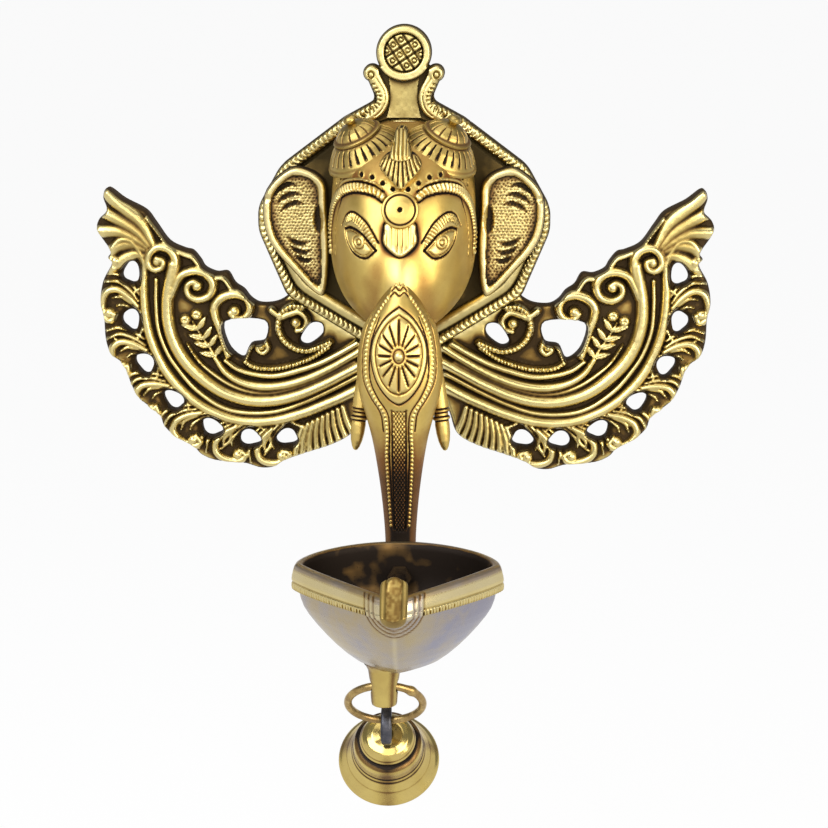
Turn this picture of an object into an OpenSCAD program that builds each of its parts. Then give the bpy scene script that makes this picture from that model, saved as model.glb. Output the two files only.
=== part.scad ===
// Wall-hung oil lamp in cast brass: an elephant-headed mask on a kite-shaped back plate between two pierced
// scroll wings, an oil bowl carried on the trunk, and a bell on a ring under the bowl.
// Millimetres. The origin is the rear end of the hanging hole, the wall is y = 0, the front faces -Y.

/* [Back plate] */
// Width of the kite-shaped plate across its widest part
plate_w = 104.4; // [94:0.2:114]
// Height from the hanging hole down to the plate's lower point
plate_drop = 114; // [108:1:122]
// Thickness of the plate from its back to its field
plate_t = 7.5; // [6:0.5:10]
// Thickness of the skin in front of the plate's hollow back
plate_skin = 3; // [2:0.5:4]
// Width of the solid rim round the plate's hollow back
plate_wall = 4; // [3:0.5:5]
// Width of the rope border
border_w = 3.9; // [3:0.1:5]
// Height of the rope border above the field
border_rise = 1.4; // [0.8:0.2:2.4]
// Radius of the finial disc
finial_r = 9.8; // [9.2:0.2:11]
// Height from the hanging hole down to the middle of the finial disc
finial_drop = 1.5; // [0:0.5:3]
// Width of the neck under the finial
neck_w = 19.6; // [17:0.2:22]

/* [Hanger] */
// Diameter of the hanging hole
hang_hole_d = 6; // [4:0.5:7]
// Width of the hanging strap
strap_w = 11; // [10:0.5:13]
// Thickness of the hanging strap and of the wings' lap behind the plate
lap_t = 2.5; // [2:0.25:3.5]
// Diameter of the strap and wing rivets
rivet_d = 3; // [2:0.25:4]
// Depth of the rivets in the plate
rivet_depth = 4; // [3:0.5:5]

/* [Wings] */
// Width over both wings
wing_span = 221; // [212:1:232]
// Height from the hanging hole down to the centre of the scroll
scroll_drop = 93; // [89:1:97]
// Radius of the leaf edge round the centre of the scroll
wing_r = 58.5; // [56:0.5:61]
// Thickness of the wings
wing_t = 7; // [6:0.5:10]
// Thickness of the skin in front of the wings' hollow backs
wing_skin = 3; // [2:0.5:4]
// Width of the rim round the wings' hollow backs
wing_wall = 2.2; // [1.6:0.2:3]
// Width of the wings' lap behind the plate
lap_w = 13; // [11:0.5:16]
// Number of round ribs in the sweep of the scroll
rib_count = 3; // [2:1:3]
// Radius of the outermost rib
rib_r = 42; // [40:0.5:43]
// Distance between the ribs
rib_pitch = 7.7; // [6:0.1:8]
// Diameter of the ribs
rib_d = 4.6; // [3.4:0.2:5.2]
// Radius of the balls in the leaves of the edge
leaf_ball_r = 2.4; // [1.6:0.1:2.8]
// Angle between the first leaves of the edge
leaf_pitch = 21.4; // [20.4:0.2:22]
// Length of the pierced gaps between the leaves
gap_l = 7.6; // [5:0.2:9]
// Width of the pierced gaps between the leaves
gap_w = 6.2; // [4:0.2:7]

/* [Mask] */
// Width of the head
head_w = 51; // [48:0.5:53]
// Height from the hanging hole down to the top of the head
head_drop = 25; // [22:0.5:28]
// Height of the head from its top to the jaw
head_h = 72; // [68:1:76]
// Depth of the head in front of the plate
head_depth = 45; // [40:0.5:50]
// Width of the trunk at its root
trunk_w = 29; // [26:0.5:32]
// Width of the trunk at its tip
trunk_tip_w = 11; // [10:0.2:13]
// Height of the trunk from the jaw to its tip
trunk_h = 90; // [84:1:96]
// Distance of the bowl's seat on the trunk from the plate's field
trunk_reach = 47; // [44:0.5:50]
// Height of the trunk's tip below the rim of the bowl
tip_drop = 19.5; // [17:0.5:24]
// Diameter of the hollow behind the face
hollow_d = 34; // [28:0.5:36]
// Thickness of the face in front of the hollow
face_t = 5; // [4:0.5:8]
// Distance of the trunk's root in front of the head
trunk_fore = 14.5; // [12:0.5:17]
// Radius of the two crown domes at their lower rim
dome_r = 13.2; // [11:0.2:14]
// Height of the crown domes with their knobs
dome_h = 14.6; // [12:0.2:16]
// Distance between the crown domes
dome_gap = 25.2; // [23:0.2:28]
// Width of the pendant between the crown domes
pendant_w = 14.4; // [12:0.2:16]
// Height of the pendant between the crown domes
pendant_h = 20; // [18:0.5:21]
// Width of the fluted plaque under the forehead disc
plaque_w = 11.2; // [9:0.2:13]
// Height of the fluted plaque under the forehead disc
plaque_h = 11.6; // [10:0.2:13]
// Diameter of the two screws that hold the mask
mask_screw_d = 4; // [3:0.5:5]
// Length of those screws in the mask
mask_screw_l = 12; // [8:0.5:14]

/* [Jewel] */
// Diameter of the forehead disc
jewel_d = 12.7; // [10:0.2:15]
// Thickness of the forehead disc
jewel_t = 3; // [2:0.25:4]

/* [Ears] */
// Width of each ear
ear_w = 23; // [20:0.5:24]
// Height of each ear
ear_h = 46.5; // [42:0.5:50]
// Height from the hanging hole down to the top of the ears
ear_drop = 42; // [40:0.5:46]
// Distance of the ears' inner edge from the side of the head
ear_gap = 1.5; // [0.5:0.1:3]
// Thickness of the ears
ear_t = 4.5; // [3.5:0.25:6]
// Width of the rim round each ear
ear_rim = 3; // [2:0.2:4]
// Depth of the ears' sunk field
ear_sink = 1.6; // [0.8:0.2:2.4]

/* [Tusks] */
// Largest diameter of each tusk
tusk_d = 5.4; // [4.4:0.2:6.4]
// Length of each tusk from its seat to its tip
tusk_l = 24; // [20:0.5:28]
// Diameter of the tusks' pins
tusk_pin_d = 2.6; // [2:0.2:3]
// Length of the tusks' pins
tusk_pin_l = 7; // [5:0.5:9]
// Distance of the tusks' seats inside the side of the trunk
tusk_inset = 1.9; // [1:0.1:3]

/* [Bowl] */
// Width of the bowl
bowl_w = 69; // [64:0.5:76]
// Depth of the bowl from its back to its widest part
bowl_back = 27; // [24:0.5:30]
// Depth of the bowl from its widest part to its front
bowl_front = 36; // [32:0.5:40]
// Height of the bowl from its rim to its bottom
bowl_h = 35; // [32:0.5:38]
// Thickness of the bowl's wall
bowl_wall = 2.4; // [2:0.2:3.6]
// Height of the rim's belt
belt_h = 9; // [7:0.5:11]
// Distance of the belt from the wall below it
belt_rise = 1.6; // [0.8:0.1:2.2]
// Rise of the rim from its sides to the spout
rim_rise = 1.2; // [0:0.2:3]
// Width of the spout at its lip
spout_w = 8.4; // [7:0.2:10]
// Height of the spout at its lip
spout_h = 12; // [10:0.5:14]
// Height of the spout above the rim
spout_rise = 3.5; // [2:0.5:5]
// Distance of the spout's lip from the front of the bowl
spout_l = 5; // [4:0.5:8]
// Width of the spout's channel
channel_w = 4; // [3:0.2:5]
// Depth of the spout's channel
channel_h = 6; // [4:0.5:8]
// Number of stepped collars behind the spout's lip
collar_count = 3; // [1:1:3]
// Step from one collar to the next
collar_step = 1.1; // [0.8:0.1:1.3]
// Diameter of the screw that holds the bowl
bowl_screw_d = 4; // [3:0.5:4.5]

/* [Ring and bell] */
// Diameter of the wire of the ring
ring_wire = 3; // [2.4:0.2:3.6]
// Outer diameter of the ring
ring_d = 28.6; // [26:0.2:32]
// Diameter of the lug at the ring
lug_d = 9.4; // [8.4:0.2:10.4]
// Height of the lug from the bottom of the bowl to the ring's hole
lug_drop = 7; // [6:0.5:9]
// Distance of the lug from the middle of the bowl
lug_side = 4.5; // [0:0.5:6]
// Diameter of the wire of the bell's loop
loop_wire = 2; // [1.6:0.1:2.4]
// Outer diameter of the bell's loop
loop_d = 14.4; // [11:0.2:16]
// Diameter of the bell at its lip
bell_d = 36; // [33:0.5:40]
// Height of the bell
bell_h = 21; // [19:0.5:24]
// Thickness of the bell's wall
bell_wall = 2; // [1.6:0.1:2.4]
// Diameter of the clapper's ball
clapper_d = 7; // [5:0.5:8]
// Length of the clapper from its eye to the middle of its ball
clapper_l = 9; // [8:0.5:11]
// Lean of the ring back towards the wall
ring_lean = 44; // [0:1:56]
// Lean of the bell back towards the wall
bell_lean = 45; // [0:1:64]

/* [Hidden] */
$fn = 48;
seam = 0.1;
run_gap = 0.3;
past = 1;

brass = "#b8923a";
dark_brass = "#7d6128";
iron = "#4d4a46";

// Depth planes, from the wall to the front
field_y = -lap_t - plate_t;
border_y = field_y - border_rise;
seat_y = field_y - trunk_reach;

// Outline of the plate, right half from the finial down, as corner points with their rounding
half_w = plate_w / 2;
serpent_reach = 4;
serpent_r = 2.2;
finial_c = [0, -finial_drop];
neck_z = -finial_drop - finial_r - 6.6;
lower_corner = [0.808 * half_w, -0.772 * plate_drop];
lower_point = [0, -plate_drop];
plate_right = [
    [finial_r * 0.6, finial_c.y - finial_r * 0.3, 0],
    [finial_r + serpent_reach, finial_c.y - finial_r * 0.72, serpent_r],
    [neck_w / 2, neck_z, 3],
    [0.412 * half_w, neck_z - 6.4, 8],
    [0.843 * half_w, -0.361 * plate_drop, 14],
    [half_w, -0.49 * plate_drop, 12],
    [half_w, -0.565 * plate_drop, 14],
    [lower_corner.x, lower_corner.y, 8]
];

// Scroll wings: the sweep, the ribs and the leaves all turn round this centre
scroll_c = [wing_span / 2 - wing_r, -scroll_drop];
drawn_r = 58.5;
wing_k = wing_r / drawn_r;
gap_first = 14;
gap_count = 7;
leaf_count = 9;
leaf_lead = 10;
leaf_r = 13;
leaf_close = 0.35;
ball_lead = 5.6;
sweep_r = wing_r - 4.5;
gap_r = wing_r - 10;
function gap_angle(i) = gap_first - leaf_pitch * i + leaf_close * i * i;
// Inner edge of the right wing, from the plate round the tip, as steps from the centre at drawn_r
wing_edge = [
    [-9.5, 0.8, 3], [1.5, 0.8, 5], [8.4, 6.6, 2], [9.6, 11.4, 2.4], [16.4, 11.4, 3.4], [21.4, 13.8, 2],
    [24.5, 19.4, 2.4], [30.2, 19.4, 3.4], [33.8, 22.8, 2], [36, 28, 3], [40.4, 33.4, 3], [47.4, 37.8, 2],
    [54, 42.9, 1.4], [57.4, 36.6, 2], [56, 33, 1], [59.2, 27.5, 3], [55.4, 19, 2]
];
// Scroll eyes on the wing: step from the centre and radius
wing_eyes = [[36.4, 15.6, 4.6], [22.6, 7, 5], [10, -0.6, 4], [-13, -5.4, 4]];
eye_rise = 1.6;
// The two larger openings in the wing, by the plate and under the scroll eyes
wing_windows = [
    [[-1.2, -4.8, 1.5], [13, -5.2, 2.5], [12.2, -14, 3], [7, -18.6, 2], [4, -13.6, 2], [-1.2, -12, 1.5]],
    [[-22, -6, 1.2], [-17.8, -6, 1.2], [-14, -12, 1.2], [-17, -13.8, 1.2], [-22, -10, 1.2]]
];

// Rivets that hold each wing's lap, along the plate's lower edge
edge_way = (lower_point - lower_corner) / norm(lower_point - lower_corner);
edge_in = [edge_way.y, -edge_way.x];
lap_ends = [0.02, 0.7];
rivet_shares = [0.16, 0.56];
boss_r = rivet_d / 2 + 2.5;
function edge_point(share, inward) =
    lower_corner + share * (lower_point - lower_corner) + inward * edge_in;
wing_rivet_at = [for (share = rivet_shares) edge_point(share, lap_w / 2 + 0.5)];

// Hanging strap behind the finial
strap_up = hang_hole_d / 2 + 2.5;
strap_rivet_z = [-hang_hole_d / 2 - 3 - rivet_d, -hang_hole_d / 2 - 6 - 2 * rivet_d];
strap_down = -strap_rivet_z[1] + rivet_d / 2 + 2;

// Mask: rows of the head and trunk as [height, half width, front, back, squareness of the back], where
// front and back are distances from the plate's field. The head's back is sunk behind it and cut there.
jaw_z = -head_drop - head_h;
trunk_r = trunk_w / 2;
tip_r = trunk_tip_w / 2;
tip_t = 1.25 * trunk_tip_w;
seat_cut = 0.8;
trunk_depth = 0.45 * trunk_w + 10;
root_front = head_depth + trunk_fore;
head_sink = 4;
head_square = 0.6;
head_rows = [for (row = [
        [0, 0.42, 0.28], [0.06, 0.7, 0.5], [0.14, 0.86, 0.68], [0.27, 0.95, 0.84], [0.4, 0.99, 0.945],
        [0.53, 1, 1], [0.65, 1, 1.03], [0.75, 0.95, 1.035], [0.85, 0.82, 0.99], [0.93, 0.63, 0.875],
        [1, 0.38, 0.69], [1.05, 0.18, 0.47]
    ]) [-head_drop - row[0] * head_h, row[1] * head_w / 2, row[2] * head_depth, -head_sink, head_square]];
root_rows = [for (row = [
        [-0.29, 0.1, 0.78, 0.64], [-0.245, 0.24, 0.83, 0.64], [-0.19, 0.4, 0.88, 0.62], [-0.1, 0.72, 0.943, 0.61],
        [-0.04, 0.92, 0.972, 0.61], [0.05, 1, 0.995, 0.61], [0.13, 1, 1, 0.612], [0.2, 0.93, 0.993, 0.62]
    ]) [jaw_z - row[0] * trunk_h, row[1] * trunk_r, row[2] * root_front, row[3] * root_front, 0]];
trunk_rows = [for (row = [
        [0.27, 0.72, 0.1], [0.39, 0.45, 0.28], [0.54, 0.2, 0.58],
        [0.68, 0.06, 0.85], [0.8, 0, 0.98], [0.92, 0, 1]
    ])
    let (
        half = tip_r + row[1] * (trunk_r - tip_r),
        front = root_front + (trunk_reach + seat_cut - root_front) * row[2],
        thick = tip_t + row[1] * (trunk_depth - tip_t)
    ) [jaw_z - row[0] * trunk_h, half, front, front - thick, 0]];
tip_row = [[jaw_z - trunk_h, tip_r * 0.6, trunk_reach + seat_cut, trunk_reach - 0.5 * tip_t, 0]];
trunk_keys = concat(root_rows, trunk_rows, tip_row);
row_steps = 2;
front_points = 16;
back_points = 10;
face_mid_z = -head_drop - 0.53 * head_h;
hollow_y = field_y - head_depth + hollow_d / 2 + face_t;
screw_head_d = 2 * mask_screw_d;
screw_head_h = lap_t - 0.5;
mask_screw_z = [face_mid_z + hollow_d / 2 + mask_screw_d + 2, face_mid_z - hollow_d / 2 - mask_screw_d - 2];

// Crown domes: lower rim, lean outwards and lean forwards
dome_z = -head_drop - 0.13 * head_h;
dome_y = field_y - 0.39 * head_depth;
dome_out = 19;
dome_nod = 17;
dome_sink = 8;

// Pendant between the domes in two tiers, and the plaque under the forehead disc: corners as shares of half
// the width and of the height, from the top left to the right and round
pendant_z = -head_drop - 1;
pendant_y = field_y - 0.69 * head_depth;
pendant_back = field_y - 0.36 * head_depth;
upper_tier = [[-0.22, 0], [0.22, 0], [0.36, 0.2], [0.5, 0.45], [0, 0.52], [-0.5, 0.45], [-0.36, 0.2]];
lower_tier = [
    [-0.53, 0.38], [0.53, 0.38], [1, 0.57], [0.72, 0.75], [0.36, 0.88], [0, 1],
    [-0.36, 0.88], [-0.72, 0.75], [-1, 0.57]
];
plaque_z = -head_drop - 0.435 * head_h;
plaque_y = field_y - 0.982 * head_depth;
plaque_back = field_y - 0.85 * head_depth;
plaque_path = [
    [-0.93, 0], [0.93, 0], [1, 0.31], [0.96, 0.61], [0.57, 0.83], [0, 1],
    [-0.57, 0.83], [-0.96, 0.61], [-1, 0.31]
];

// Forehead disc
jewel_z = -head_drop - 0.385 * head_h;
jewel_y = field_y - 0.93 * head_depth;
jewel_nod = 14;
jewel_pin_d = 0.3 * jewel_d;
jewel_pin_l = 4;

// Ears, right one, beside the head: corner points with their rounding, as shares of the width and height
ear_in = head_w / 2 + ear_gap;
ear_path = [for (p = [
        [0.08, 0.1, 3], [0.3, 0, 4], [0.62, 0, 7], [1, 0.2, 6], [0.95, 0.52, 8], [0.58, 0.77, 10],
        [0.1, 1, 2], [0, 0.7, 8], [0.05, 0.32, 6]
    ]) [ear_in + p.x * ear_w, -ear_drop - p.y * ear_h, p.z]];
ear_rivet_at = [ear_in + 0.48 * ear_w, -ear_drop - 0.38 * ear_h];
ear_boss_r = 6;
ear_rivet_depth = ear_t - ear_sink - 1;

// Tusks: seat and lean in the mask
tusk_seat = [trunk_r - tusk_inset, field_y - 0.92 * head_depth, jaw_z - 0.16 * trunk_h];
tusk_out = 7;
tusk_fore = 5;
socket_r = tusk_pin_d / 2 + 1.7;
socket_up = 18;

// Bowl: its widest section lies at bowl_mid
rim_z = jaw_z - trunk_h + tip_drop;
bowl_mid = [0, seat_y - bowl_back];
bowl_turns = 48;
front_power = 1.45;
bowl_rows = 9;
belt_share = 1 - belt_h / bowl_h;
bowl_screw_z = rim_z - tip_drop / 2;
bowl_pad_d = bowl_screw_d + 7;
pad_rise = 2.8;
trunk_pad_y = seat_y + 0.8 * tip_t;
nut_y = seat_y - bowl_wall - belt_rise - pad_rise;
nut_t = 0.75 * bowl_screw_d;
bowl_screw_head_h = 0.55 * bowl_screw_d;
front_y = bowl_mid.y - bowl_front;
spout_top = rim_z + rim_rise + spout_rise;

// Ring, loop, bell and clapper, hung from the lug's hole
ring_r = (ring_d - ring_wire) / 2;
wire_sag = ring_r - sqrt(ring_r * ring_r - lug_d * lug_d / 4);
lug_hole_r = ring_wire / 2 + wire_sag + run_gap;
lug_at = [-lug_side, bowl_mid.y - 1, rim_z - bowl_h - lug_drop];
lug_end = lug_hole_r + 4;
loop_r = (loop_d - loop_wire) / 2;
loop_hang = loop_r - loop_wire / 2 - ring_wire / 2 - run_gap;
crown_t = bell_wall + 0.4;
bell_top = loop_hang + loop_r + loop_wire / 2 + run_gap;
eye_r = loop_wire * 1.1;
eye_drop = bell_top + crown_t + run_gap + eye_r + loop_wire / 2;
clapper_wire = 0.75 * loop_wire;
clapper_eye_r = loop_wire / 2 + clapper_wire / 2 + 2.5 * run_gap;
clapper_drop = eye_drop + eye_r - loop_wire / 2 - clapper_wire / 2 - run_gap;
bell_pivot = lug_at + 2 * ring_r * [0, sin(ring_lean), -cos(ring_lean)];

// Rounded outlines: each corner is [x, y, radius], and the radius gives way to short sides
function unit(v) = v / norm(v);
function turn(a) = a > 180 ? a - 360 : a < -180 ? a + 360 : a;
function flat(p) = [p.x, p.y];
function corner(a, p, b, r, n) =
    let (
        u = unit(a - p),
        w = unit(b - p),
        half = acos(u * w) / 2,
        cut = min(r / tan(half), 0.48 * min(norm(a - p), norm(b - p))),
        c = p + unit(u + w) * cut / cos(half),
        s = p + u * cut - c,
        e = p + w * cut - c,
        first = atan2(s.y, s.x),
        sweep = turn(atan2(e.y, e.x) - first)
    )
    r == 0 ? [p] : [for (i = [0:n]) c + norm(s) * [cos(first + sweep * i / n), sin(first + sweep * i / n)]];
function rounded(path, n = 5) =
    let (last = len(path) - 1)
    [for (i = [0:last])
        let (before = path[i == 0 ? last : i - 1], after = path[i == last ? 0 : i + 1])
        each corner(flat(before), flat(path[i]), flat(after), path[i].z, n)];
function mirrored(path) = [for (i = [len(path) - 1:-1:0]) [-path[i].x, path[i].y, path[i].z]];
function around(a, r) = scroll_c + r * [cos(a), sin(a)];
function stepped(path) = [for (p = path) [scroll_c.x + wing_k * p.x, scroll_c.y + wing_k * p.y, p.z]];
function ellipse(a, b, n = 20) = [for (i = [0:n - 1]) [a * cos(360 * i / n), b * sin(360 * i / n)]];

// Lofts: rows of equal length become a closed skin
function skin_faces(rows, points) = [for (i = [0:rows - 2], j = [0:points - 1])
    let (k = (j + 1) % points, a = i * points, b = a + points)
    each [[a + j, b + j, b + k], [a + j, b + k, a + k]]];
function first_cap(points) = [[for (j = [0:points - 1]) j]];
function last_cap(rows, points) = [[for (j = [points - 1:-1:0]) (rows - 1) * points + j]];

module skin(rows) {
    points = len(rows[0]);
    polyhedron(
        [for (row = rows) each row],
        concat(first_cap(points), skin_faces(len(rows), points), last_cap(len(rows), points))
    );
}

// A 2D shape drawn in x and z becomes a slab between two depths
module slab(front, back) {
    translate([0, back, 0])
        rotate([90, 0, 0])
            linear_extrude(back - front)
                children();
}

// A rod along Y between two depths
module rod(at, r, front, back) {
    translate([at.x, back, at.y])
        rotate([90, 0, 0])
            cylinder(r = r, h = back - front);
}

module plate_shape() {
    translate(finial_c)
        circle(r = finial_r);
    polygon(rounded(concat(plate_right, [[lower_point.x, lower_point.y, 4]], mirrored(plate_right))));
}

// Places in the plate that stay solid behind fasteners
module plate_bosses() {
    translate([-strap_w / 2, -strap_down])
        square([strap_w, strap_down + strap_up]);
    for (side = [-1, 1]) {
        for (at = wing_rivet_at)
            translate([side * at.x, at.y])
                circle(r = boss_r);
        translate([side * ear_rivet_at.x, ear_rivet_at.y])
            circle(r = boss_r);
    }
    for (z = mask_screw_z)
        translate([0, z])
            circle(r = screw_head_d / 2 + 1.5);
}

module plate() {
    color(dark_brass)
        difference() {
            union() {
                slab(field_y, -lap_t)
                    plate_shape();
                slab(border_y, field_y)
                    difference() {
                        plate_shape();
                        offset(delta = -border_w)
                            plate_shape();
                    }
            }
            slab(field_y + plate_skin, -lap_t + past)
                difference() {
                    offset(delta = -plate_wall)
                        plate_shape();
                    plate_bosses();
                }
            rod([0, 0], hang_hole_d / 2 + 1.5, field_y + plate_skin, -lap_t + past);
            for (z = strap_rivet_z)
                rod([0, z], rivet_d / 2 + seam, -lap_t - rivet_depth - seam, 0);
            for (side = [-1, 1]) {
                for (at = wing_rivet_at)
                    rod([side * at.x, at.y], rivet_d / 2 + seam, -lap_t - rivet_depth - seam, 0);
                rod([side * ear_rivet_at.x, ear_rivet_at.y], rivet_d / 2 + seam, field_y - past, 0);
            }
            for (z = mask_screw_z)
                rod([0, z], mask_screw_d / 2 + seam, field_y - past, 0);
        }
}

module strap() {
    color(iron)
        difference() {
            slab(-lap_t, 0)
                polygon(rounded([
                    [-strap_w / 2, strap_up, strap_w / 2 - 0.5], [strap_w / 2, strap_up, strap_w / 2 - 0.5],
                    [strap_w / 2, -strap_down, 1.5], [-strap_w / 2, -strap_down, 1.5]
                ]));
            rod([0, 0], hang_hole_d / 2, -lap_t - past, past);
            for (z = strap_rivet_z)
                rod([0, z], rivet_d / 2 + seam, -lap_t - past, past);
        }
}

module blind_rivet(at) {
    color(brass)
        rod(at, rivet_d / 2, -lap_t - rivet_depth, 0);
}

// Right wing: the area that the scroll fills, before the plate is taken out of it
module wing_area() {
    polygon(rounded(concat(
        [[each edge_point(lap_ends[1], lap_w / 3), 0], [each edge_point(lap_ends[0], lap_w / 3), 0]],
        stepped(wing_edge),
        [for (a = [14:-8:-122]) [each around(a, sweep_r), 0]],
        [[trunk_r + 1, -scroll_drop - 0.62 * wing_r, 3]]
    )));
    for (i = [1:leaf_count - 1])
        translate(around(gap_angle(i) + leaf_lead, wing_r - leaf_r))
            circle(r = leaf_r);
}

module wing_gaps() {
    for (i = [0:gap_count - 1]) {
        translate(around(gap_angle(i), gap_r))
            rotate(gap_angle(i))
                polygon(ellipse(gap_w / 2, gap_l / 2));
    }
    for (window = wing_windows)
        polygon(rounded(stepped(window)));
}

module wing_shape() {
    difference() {
        wing_area();
        plate_shape();
        wing_gaps();
    }
}

// Strip of the wing that goes behind the plate's lower edge
module lap_shape() {
    polygon([
        edge_point(lap_ends[0], -2), edge_point(lap_ends[1], -2),
        edge_point(lap_ends[1], lap_w), edge_point(lap_ends[0], lap_w)
    ]);
}

module wing() {
    color(brass)
        difference() {
            union() {
                slab(-wing_t, 0)
                    wing_shape();
                slab(-lap_t, 0)
                    intersection() {
                        lap_shape();
                        wing_or_plate();
                    }
                for (i = [0:rib_count - 1])
                    translate([scroll_c.x, -wing_t, scroll_c.y])
                        rotate([90, rib_turn(i), 0])
                            rotate_extrude(angle = rib_sweep(i))
                                translate([rib_r - i * rib_pitch, 0])
                                    circle(d = rib_d);
                for (i = [0:gap_count - 1]) {
                    at = around(gap_angle(i) + ball_lead, wing_r - leaf_ball_r - 1.5);
                    translate([at.x, -wing_t, at.y])
                        sphere(r = leaf_ball_r);
                }
                for (eye = stepped(wing_eyes)) {
                    rod(flat(eye), eye.z, -wing_t - eye_rise, -wing_t + past);
                    translate([eye.x, -wing_t - eye_rise, eye.y])
                        sphere(r = eye.z * 0.4);
                }
            }
            slab(-wing_t + wing_skin, past)
                difference() {
                    offset(delta = -wing_wall)
                        wing_shape();
                    lap_shape();
                }
            for (at = wing_rivet_at)
                rod(at, rivet_d / 2 + seam, -lap_t - past, past);
        }
}

module wing_or_plate() {
    wing_shape();
    plate_shape();
}

function rib_sweep(i) = i < 2 ? 167 : 102;
function rib_turn(i) = 142 + 4 * i;

// One point of a mask row, front half first, then round the back
function row_point(row, j) =
    let (
        mid = row[3] + (row[2] - row[3]) * (0.5 - 0.25 * row[4]),
        a = 180 * j / front_points,
        u = (j - front_points) / back_points
    )
    j <= front_points
        ? [row[1] * cos(a), field_y - mid - (row[2] - mid) * sin(a), row[0]]
        : let (
            box = u < 0.3 ? [-1, u / 0.3] : u < 0.7 ? [(u - 0.5) / 0.2, 1] : [1, (1 - u) / 0.3],
            round = [-cos(180 * u), sin(180 * u)],
            p = row[4] * box + (1 - row[4]) * round
        ) [row[1] * p.x, field_y - mid + (mid - row[3]) * p.y, row[0]];
function mask_section(row) = [for (j = [0:front_points + back_points - 1]) row_point(row, j)];
function eased(keys, i, t) =
    let (
        n = len(keys) - 1,
        p = keys[max(i - 1, 0)],
        a = keys[i],
        b = keys[min(i + 1, n)],
        q = keys[min(i + 2, n)]
    ) (2 * a + t * (b - p) + t * t * (2 * p - 5 * a + 4 * b - q) + t * t * t * (3 * a - p - 3 * b + q)) / 2;
function eased_rows(keys) = concat(
    [for (i = [0:len(keys) - 2], k = [0:row_steps - 1]) eased(keys, i, k / row_steps)],
    [keys[len(keys) - 1]]
);

module loft(keys) {
    skin([for (row = eased_rows(keys)) mask_section(row)]);
}

// A tablet on the head whose front leans by a share of its height
module tablet(path, w, h, top, front, lean, back) {
    skin([
        [for (p = path) [p.x * w / 2, front - lean * p.y * h, top - p.y * h]],
        [for (p = path) [p.x * w / 2, back, top - p.y * h]]
    ]);
}

module crown_dome() {
    translate([dome_gap / 2, dome_y, dome_z])
        rotate([dome_nod, dome_out, 0])
            union() {
                rotate_extrude()
                    polygon([
                        [0, -dome_sink], [dome_r * 0.5, -dome_sink], [dome_r, -0.04 * dome_h], [dome_r, 0],
                        [dome_r * 0.86, 0.16 * dome_h], [dome_r * 0.6, 0.42 * dome_h],
                        [dome_r * 0.63, 0.45 * dome_h], [dome_r * 0.63, 0.51 * dome_h],
                        [dome_r * 0.53, 0.54 * dome_h], [dome_r * 0.42, 0.68 * dome_h],
                        [dome_r * 0.28, 0.76 * dome_h], [0, 0.8 * dome_h]
                    ]);
                translate([0, 0, 0.88 * dome_h])
                    sphere(r = dome_r * 0.17);
            }
}

module tusk_frame(side) {
    translate([side * tusk_seat.x, tusk_seat.y, tusk_seat.z])
        rotate([-tusk_fore, -side * tusk_out, 0])
            children();
}

module jewel_frame() {
    translate([0, jewel_y, jewel_z])
        rotate([90 - jewel_nod, 0, 0])
            children();
}

module mask() {
    color(brass)
        difference() {
            union() {
                loft(head_rows);
                loft(trunk_keys);
                crown_dome();
                mirror([1, 0, 0])
                    crown_dome();
                tablet(upper_tier, pendant_w, pendant_h, pendant_z, pendant_y, 0.77, pendant_back);
                tablet(lower_tier, pendant_w, pendant_h, pendant_z, pendant_y - 2.2, 0.37, pendant_back);
                tablet(plaque_path, plaque_w, plaque_h, plaque_z, plaque_y, 0.24, plaque_back);
                for (side = [-1, 1])
                    tusk_frame(side)
                        cylinder(r = socket_r, h = socket_up);
            }
            translate([-head_w, field_y, jaw_z - trunk_h])
                cube([2 * head_w, head_w, trunk_h + head_h + head_w]);
            rod([0, face_mid_z], hollow_d / 2, hollow_y, field_y + past);
            translate([0, hollow_y, face_mid_z])
                sphere(d = hollow_d);
            for (z = mask_screw_z)
                rod([0, z], mask_screw_d / 2 + seam, field_y - mask_screw_l - 2, field_y + past);
            jewel_frame()
                union() {
                    cylinder(d = jewel_d + 2 * seam, h = head_w);
                    translate([0, 0, -jewel_pin_l - seam])
                        cylinder(d = jewel_pin_d + 2 * seam, h = jewel_pin_l + 2 * seam);
                }
            for (side = [-1, 1])
                tusk_frame(side)
                    union() {
                        translate([0, 0, -past])
                            cylinder(d = tusk_pin_d + 2 * seam, h = tusk_pin_l + past + seam);
                        translate([0, 0, -tusk_l])
                            cylinder(r = max(socket_r, tusk_d / 2 + run_gap), h = tusk_l);
                    }
            translate([-trunk_w, seat_y - trunk_w, rim_z - bowl_h])
                cube([2 * trunk_w, trunk_w, bowl_h + run_gap]);
            translate([-trunk_w, trunk_pad_y, bowl_screw_z - 2 * bowl_screw_d])
                cube([2 * trunk_w, trunk_w, 4 * bowl_screw_d]);
            rod([0, bowl_screw_z], bowl_screw_d / 2 + seam, seat_y - past, trunk_pad_y + past);
        }
}

module mask_screw(z) {
    color(iron)
        union() {
            rod([0, z], mask_screw_d / 2, field_y - mask_screw_l, -lap_t);
            rod([0, z], screw_head_d / 2, -lap_t, -lap_t + screw_head_h);
        }
}

module jewel() {
    color(brass)
        jewel_frame()
            union() {
                rotate_extrude()
                    polygon([
                        [0, 0], [jewel_d / 2, 0], [jewel_d / 2, jewel_t * 0.75],
                        [jewel_d / 2 - 0.8, jewel_t], [jewel_d * 0.22, jewel_t * 0.85],
                        [jewel_d * 0.12, jewel_t * 0.85], [0, jewel_t * 1.15]
                    ]);
                translate([0, 0, -jewel_pin_l])
                    cylinder(d = jewel_pin_d, h = jewel_pin_l + seam);
            }
}

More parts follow.
